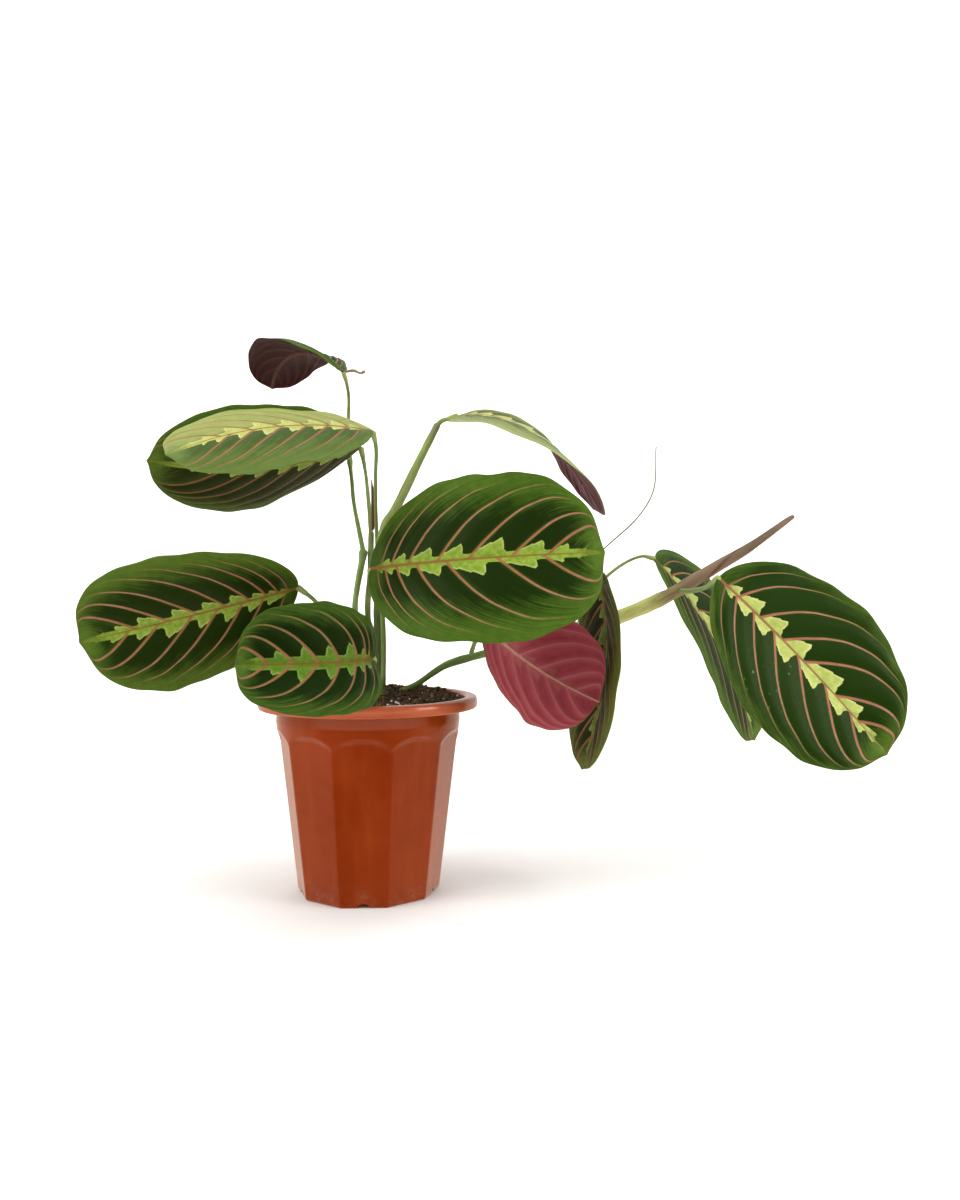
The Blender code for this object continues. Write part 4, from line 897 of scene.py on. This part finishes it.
def panel_offset(angle):
    return (angle - math.radians(POT_CORNER_ANGLE)) % (2 * HALF_PANEL) - HALF_PANEL


def eased(off):
    """Angle from the panel's middle, eased so that the corner between panels is slightly round."""
    share = np.abs(off) / HALF_PANEL
    return HALF_PANEL * np.where(share > 0.93, 0.93 + (share - 0.93) * (1 - (share - 0.93) / 0.14), share)


def body_radius(angle, z, inset=0.0):
    off = panel_offset(angle)
    corner = BODY_FOOT_RADIUS + (BODY_TOP_RADIUS - BODY_FOOT_RADIUS) * (z - BODY_FOOT_Z) / (BODY_TOP_Z - BODY_FOOT_Z)
    panel = (corner - inset) * math.cos(HALF_PANEL) / np.cos(eased(off))
    band = corner - inset + 0.3
    arch = ARCH_Z - ARCH_DROP * (np.abs(off) / HALF_PANEL) ** 2.5
    return band + (panel - band) * step((arch - z) / LEDGE, 0.0, 1.0)


def around(radius, z):
    radius = np.broadcast_to(radius, POT_ANGLES.shape)
    z = np.broadcast_to(z, POT_ANGLES.shape)
    return np.stack([radius * np.cos(POT_ANGLES), radius * np.sin(POT_ANGLES), z], -1)


def foot(radius, z):
    return around(radius * math.cos(HALF_PANEL) / np.cos(eased(panel_offset(POT_ANGLES))), z)


def chaikin(profile, rounds=2):
    for _ in range(rounds):
        p = np.asarray(profile, float)
        a, b = p[:-1] * 0.75 + p[1:] * 0.25, p[:-1] * 0.25 + p[1:] * 0.75
        profile = np.vstack([p[:1], np.stack([a, b], 1).reshape(-1, 2), p[-1:]])
    return profile


def stacked(name, rings, low, high, material):
    count = len(rings[0])
    n = len(rings)
    points = np.concatenate([*rings, [low, high]])
    at = np.arange(n * count).reshape(n, count)
    nxt = np.roll(at, -1, axis=1)
    quads = np.stack([at[:-1], nxt[:-1], nxt[1:], at[1:]], -1).reshape(-1, 4).tolist()
    caps = [(int(nxt[0, i]), int(at[0, i]), n * count) for i in range(count)] + [(int(at[-1, i]), int(nxt[-1, i]), n * count + 1) for i in range(count)]
    mesh = bpy.data.meshes.new(name)
    mesh.from_pydata([tuple(p) for p in points * MM], [], [tuple(q) for q in quads] + caps)
    mesh.materials.append(material)
    obj = bpy.data.objects.new(name, mesh)
    LINK(obj)
    return obj


def pot_plastic():
    """Glossy moulded terracotta-coloured plastic: soft mottling, faint flow lines, scratches in the gloss, dust low
    down, and a painted reflection making the rim paler.
    """
    m = Shade("pot_plastic")
    place = m.place()
    cloud = m.noise(place, 22.0, 4.0, 0.6)
    fine = m.noise(place, 260.0, 4.0, 0.65)
    flow = m.noise(m.scaled(place, (90.0, 90.0, 6.0)), 1.0, 3.0, 0.6, 0.3)
    colour = m.mix(m.rise(cloud, 0.3, 0.7), srgb(122, 39, 3), srgb(134, 47, 7))
    colour = m.mix(m.rise(flow, 0.45, 0.75, 0.0, 0.25), colour, srgb(156, 66, 22))
    colour = m.mix(m.rise(fine, 0.55, 0.8, 0.0, 0.15), colour, srgb(112, 36, 4))
    split = m.new("ShaderNodeSeparateXYZ")
    m.put(split.inputs[0], place)
    height = split.outputs[2]
    dust = m.do("MULTIPLY", m.rise(height, 0.0, 0.016, 1.0, 0.0), m.rise(m.noise(place, 120.0, 4.0, 0.7), 0.42, 0.7))
    colour = m.mix(m.do("MULTIPLY", dust, 0.2), colour, srgb(150, 122, 98))
    # painted reflection: the rim is painted paler, in mottled patches, standing in for the bright room caught on the
    # lip's outer face
    rim = m.do("MULTIPLY", m.rise(height, 0.1020, 0.1038), m.rise(cloud, 0.25, 0.7, 0.35, 0.75))
    colour = m.mix(rim, colour, srgb(184, 98, 68))
    scratch = m.noise(m.scaled(place, (30.0, 30.0, 420.0)), 1.0, 2.0, 0.5, 1.5)
    rough = m.do("ADD", m.rise(cloud, 0.3, 0.7, 0.13, 0.20), m.do("MULTIPLY", dust, 0.2))
    rough = m.do("ADD", rough, m.rise(scratch, 0.62, 0.75, 0.0, 0.05))
    bumps = m.do("ADD", m.do("MULTIPLY", fine, 0.25), m.do("MULTIPLY", flow, 0.9))
    normal = m.bump(bumps, 0.10, 0.30)
    normal = m.bump(cloud, 0.16, 1.2, normal)
    m.put(m.shader.inputs["Specular Tint"], (1.0, 0.66, 0.48, 1.0))
    return m.done(colour, rough, normal, Specular_IOR_Level=0.55, Subsurface_Weight=0.04, Subsurface_Scale=0.002)


body_levels = np.concatenate([np.linspace(BODY_FOOT_Z, 78, 12, endpoint=False), np.linspace(78, 96, 40), np.linspace(97, BAND_TOP_Z - 0.8, 5)])
outer = [foot(FOOT_RADIUS - 0.4, 0.0), foot(FOOT_RADIUS, 0.12), foot(FOOT_RADIUS + 0.5, 0.5), foot(FOOT_RADIUS + 0.8, 1.3), foot(FOOT_RADIUS + 0.95, 2.2)]
outer = [foot(r, 0.0) for r in (8, 16, 24, 30, 33.5, 36.0, 37.5)] + outer
outer += [around(body_radius(POT_ANGLES, z) if z < 96 else body_radius(POT_ANGLES, 96.0) + (BAND_TOP_RADIUS - body_radius(POT_ANGLES, 96.0)) * (z - 96) / (BAND_TOP_Z - 96), z) for z in body_levels]
lip_profile = chaikin([
    (BAND_TOP_RADIUS, BAND_TOP_Z), (MOUTH_RADIUS + 1.3, BAND_TOP_Z + 2.6), (MOUTH_RADIUS + 1.5, 106.4), (MOUTH_RADIUS + 2.7, 107.9), (LIP_RADIUS - 2.2, 107.5),
    (LIP_RADIUS - 1.5, 105.0), (LIP_RADIUS - 1.4, LIP_BOTTOM_Z), (LIP_RADIUS - 0.4, LIP_BOTTOM_Z), (LIP_RADIUS, LIP_BOTTOM_Z + 1.0), (LIP_RADIUS, POT_HEIGHT - 1.7),
    (LIP_RADIUS - 1.0, POT_HEIGHT - 0.4), (LIP_RADIUS - 3.3, POT_HEIGHT), (MOUTH_RADIUS + 1.0, POT_HEIGHT - 0.3), (MOUTH_RADIUS, POT_HEIGHT - 1.5), (MOUTH_RADIUS - 0.4, BAND_TOP_Z + 2.6), (BAND_TOP_RADIUS - POT_WALL - 0.3, BAND_TOP_Z - 0.4),
])
inner = [around(body_radius(POT_ANGLES, z, POT_WALL), z) for z in (96, 92.0, 90.0, 88.0, 86.0, 83.5, 80.0, 60.0, 40.0, 20.0, BODY_FOOT_Z)]
inner += [foot(FOOT_RADIUS + 0.6 - POT_WALL, POT_FLOOR + 0.8), foot(FOOT_RADIUS - 0.6 - POT_WALL, POT_FLOOR)] + [foot(r, POT_FLOOR) for r in (30, 20, 10)]
pot = stacked("pot_vis", outer + [around(r, z) for r, z in lip_profile] + inner, (0, 0, 0), (0, 0, POT_FLOOR), pot_plastic())
notch_radius = (NOTCH_WIDTH**2 / 4 + NOTCH_HEIGHT**2) / (2 * NOTCH_HEIGHT)
cutters = []
for k in range(NOTCH_COUNT):
    a = math.radians(POT_CORNER_ANGLE + 180.0 / POT_SIDES + 360.0 * k / NOTCH_COUNT + 216.0)
    bm = bmesh.new()
    bmesh.ops.create_cone(bm, cap_ends=True, segments=64, radius1=notch_radius * MM, radius2=notch_radius * MM, depth=12 * MM)
    mesh = bpy.data.meshes.new(f"notch_{k}")
    bm.to_mesh(mesh)
    bm.free()
    notch = bpy.data.objects.new(f"notch_{k}", mesh)
    LINK(notch)
    notch.location = (38.5 * MM * math.cos(a), 38.5 * MM * math.sin(a), (NOTCH_HEIGHT - notch_radius) * MM)
    notch.rotation_euler = (0, math.radians(90), a)
    cut = pot.modifiers.new("cut", "BOOLEAN")
    cut.operation, cut.solver, cut.object = "DIFFERENCE", "EXACT", notch
    cutters.append(notch)
bpy.context.view_layer.update()
carved = bpy.data.meshes.new_from_object(pot.evaluated_get(bpy.context.evaluated_depsgraph_get()))
pot.modifiers.clear()
pot.data = carved
for notch in cutters:
    bpy.data.objects.remove(notch, do_unlink=True)
carved.shade_smooth()
carved.set_sharp_from_angle(angle=math.radians(32))
settle(pot, "pot")


# ------------------------------------------------------------------ soil and rhizome

SOIL_EDGE_Z, SOIL_HEAP = 107.4, 3.2


def soil_height(x, y):
    r = np.hypot(x, y) / MOUTH_RADIUS
    back = step((y + 10.0) / 45.0, 0, 1) * (1 - step((r - 0.86) / 0.14, 0, 1))
    bumps = 0.35 * np.sin(0.21 * x + 0.8) * np.cos(0.17 * y - 0.4) + 0.2 * np.sin(0.5 * x - 0.37 * y)
    return SOIL_EDGE_Z + SOIL_HEAP * back + bumps * (1 - step((r - 0.8) / 0.2, 0, 1))


def lumps(x, y):
    """Crumbly detail of the soil's surface, in millimetres."""
    rng = np.random.default_rng(5)
    total = np.zeros(np.shape(x))
    for scale, size in ((0.35, 0.45), (0.8, 0.35), (1.7, 0.25), (3.1, 0.12)):
        for _ in range(5):
            a, p = rng.uniform(0, 2 * np.pi, 2)
            q = rng.uniform(0.8, 1.25) * scale
            total += size * 0.55 * np.sin(q * (x * math.cos(a) + y * math.sin(a)) + p + 1.3 * np.sin(0.4 * q * (y * math.cos(a) - x * math.sin(a)) + p))
    return total


def soil_skin():
    m = Shade("soil_skin")
    place = m.place()
    crumb = m.noise(place, 420.0, 6.0, 0.7)
    patch = m.noise(place, 90.0, 4.0, 0.6)
    cell = m.cells(place, 520.0)
    colour = m.mix(m.rise(patch, 0.3, 0.7), srgb(40, 30, 14), srgb(64, 48, 24))
    colour = m.mix(m.rise(crumb, 0.5, 0.75, 0.0, 0.7), colour, srgb(108, 84, 58))
    colour = m.mix(m.rise(cell, 0.0, 0.35, 0.6, 0.0), colour, srgb(24, 16, 11))
    normal = m.bump(m.do("ADD", crumb, m.do("MULTIPLY", cell, 0.6)), 0.9, 0.8)
    return m.done(colour, m.rise(patch, 0.3, 0.7, 0.80, 0.95), normal, Specular_IOR_Level=0.3)


def crumb_skin():
    m = Shade("crumb_skin")
    place = m.place()
    tone = m.read("tone")
    white = m.read("white")
    grain = m.noise(place, 900.0, 4.0, 0.7)
    colour = m.mix(tone, srgb(36, 26, 12), srgb(128, 98, 58))
    colour = m.mix(m.rise(grain, 0.5, 0.8, 0.0, 0.5), colour, srgb(30, 20, 14))
    pale = m.mix(m.rise(grain, 0.3, 0.7), srgb(206, 196, 188), srgb(240, 236, 230))
    colour = m.mix(white, colour, pale)
    return m.done(colour, m.rise(grain, 0.3, 0.7, 0.75, 0.95), m.bump(grain, 0.8, 0.4), Specular_IOR_Level=0.3)


def soil_body():
    rings = [foot(FOOT_RADIUS - 1.0 - POT_WALL - 0.4, POT_FLOOR + 0.35), foot(FOOT_RADIUS + 0.4 - POT_WALL - 0.4, POT_FLOOR + 1.3)]
    rings += [around(body_radius(POT_ANGLES, z, POT_WALL + 0.4), z) for z in (20.0, 45.0, 80.0, 83.5, 86.0, 88.0, 90.0, 92.0)]
    rings += [around(BAND_TOP_RADIUS - POT_WALL - 0.7, BAND_TOP_Z - 0.2), around(MOUTH_RADIUS - 1.0, BAND_TOP_Z + 3.0)]
    for r in np.concatenate([[MOUTH_RADIUS - 0.75], np.linspace(53, 2, 74)]):
        x, y = r * np.cos(POT_ANGLES), r * np.sin(POT_ANGLES)
        ease = 1 - step(r, 50.5, 53.6)
        rings.append(around(r, soil_height(x, y) + lumps(x, y) * (0.35 + 0.65 * ease)))
    top = rings[-1][:, 2].mean()
    obj = stacked("soil_vis", rings, (0, 0, POT_FLOOR + 0.35), (0, 0, top), soil_skin())
    obj.data.shade_smooth()
    return settle(obj, "potting_soil")


soil_body()


def crumbs():
    """Loose crumbs of peat and bark, and white perlite grains, lying on the soil."""
    rng = np.random.default_rng(11)
    ico = bmesh.new()
    bmesh.ops.create_icosphere(ico, subdivisions=2, radius=1.0)
    base = np.array([v.co[:] for v in ico.verts])
    tris = np.array([[v.index for v in f.verts] for f in ico.faces])
    ico.free()
    points, faces, tones, whites = [], [], [], []
    total = 0
    spots = []
    for _ in range(1500):
        a, r = rng.uniform(0, 2 * np.pi), 52.6 * math.sqrt(rng.uniform(0, 1))
        spots.append((r * math.cos(a), r * math.sin(a), rng.uniform(0.45, 1.0) ** 2 * 1.9, 0.0))
    for x, y in PERLITE:
        spots.append((x, y, rng.uniform(0.9, 1.5), 1.0))
    for _ in range(46):
        a, r = rng.uniform(0, 2 * np.pi), 51.5 * math.sqrt(rng.uniform(0.02, 1))
        spots.append((r * math.cos(a), r * math.sin(a), rng.uniform(0.5, 1.25), 1.0))
    for x, y, size, white in spots:
        if np.hypot(x, y) + size > 53.2:
            continue
        if (x - 2) ** 2 + ((y - 12) * 1.05) ** 2 < 121 and not white:
            size *= 0.5
        shape = base * (1 + 0.28 * np.sin(base @ rng.normal(0, 2.2, 3) + rng.uniform(0, 6))[:, None]) * (1 + 0.12 * rng.normal(size=(len(base), 1)))
        stretch = rng.uniform(0.6, 1.0, 3) if white else rng.uniform((0.5, 0.5, 0.35), (1.5, 1.0, 0.8))
        turn_by = np.linalg.qr(rng.normal(size=(3, 3)))[0]
        if np.linalg.det(turn_by) < 0:
            turn_by[:, 0] *= -1
        shape = (shape * stretch * size * 0.62) @ turn_by.T
        z = float(soil_height(np.array(x), np.array(y)) + lumps(np.array([float(x)]), np.array([float(y)]))[0] + size * 0.18)
        points.append(shape + (x, y, z))
        faces.append(tris + total)
        total += len(base)
        tones.append(np.full(len(base), rng.uniform(0, 1) ** 1.5))
        whites.append(np.full(len(base), white))
    obj = new_mesh("soil_crumbs", np.concatenate(points), np.concatenate(faces), [crumb_skin()])
    give(obj, "tone", np.concatenate(tones))
    give(obj, "white", np.concatenate(whites))
    settle(obj, None)


PERLITE = [(-21, -44), (-16, -45), (-3, -47), (4, -46), (9, -43), (13, -47), (21, -45), (26, -42), (1, -38), (14, -36), (-10, -40), (24, -36), (30, -38), (6, -31), (-28, -38), (18, -30)]
crumbs()


def rhizome():
    m = Shade("rhizome_skin")
    place = m.place()
    fibre = m.noise(m.scaled(place, (260.0, 260.0, 60.0)), 1.0, 4.0, 0.65)
    patch = m.noise(place, 130.0, 3.0, 0.6)
    colour = m.mix(m.rise(fibre, 0.35, 0.65), srgb(70, 48, 30), srgb(122, 92, 58))
    colour = m.mix(m.rise(patch, 0.5, 0.75, 0.0, 0.6), colour, srgb(104, 112, 58))
    skin = m.done(colour, m.rise(patch, 0.3, 0.7, 0.6, 0.8), m.bump(fibre, 0.8, 0.6))
    angles = np.linspace(0, 2 * np.pi, 160, endpoint=False)
    rings = []
    rng = np.random.default_rng(3)
    shifts = rng.uniform(0, 6.28, 6)
    for share, level in chaikin([(0.05, 0.0), (0.35, 0.0), (0.75, 0.22), (0.98, 0.55), (1.0, 0.80), (0.96, 0.93), (0.8, 1.0), (0.5, 1.03), (0.2, 1.0), (0.05, 1.0)], 3):
        lump = 1 + 0.05 * np.sin(3 * angles + 0.5) + 0.03 * np.sin(5 * angles) + 0.02 * np.sin(11 * angles + shifts[0] + level * 5) + 0.012 * np.sin(23 * angles + shifts[1] - level * 9)
        r = 10.3 * share * lump
        z = 90.0 + 18.9 * level + 0.5 * np.sin(4 * angles + shifts[2]) * (level > 0.85) + 0.3 * np.sin(9 * angles + shifts[3]) * (level > 0.85)
        rings.append(np.stack([2 + r * np.cos(angles), 12 + 0.95 * r * np.sin(angles), z], -1))
    obj = stacked("rhizome_vis", rings, (2, 12, 90.0), (2, 12, 109.0), skin)
    obj.data.shade_smooth()
    settle(obj, "rhizome")


rhizome()
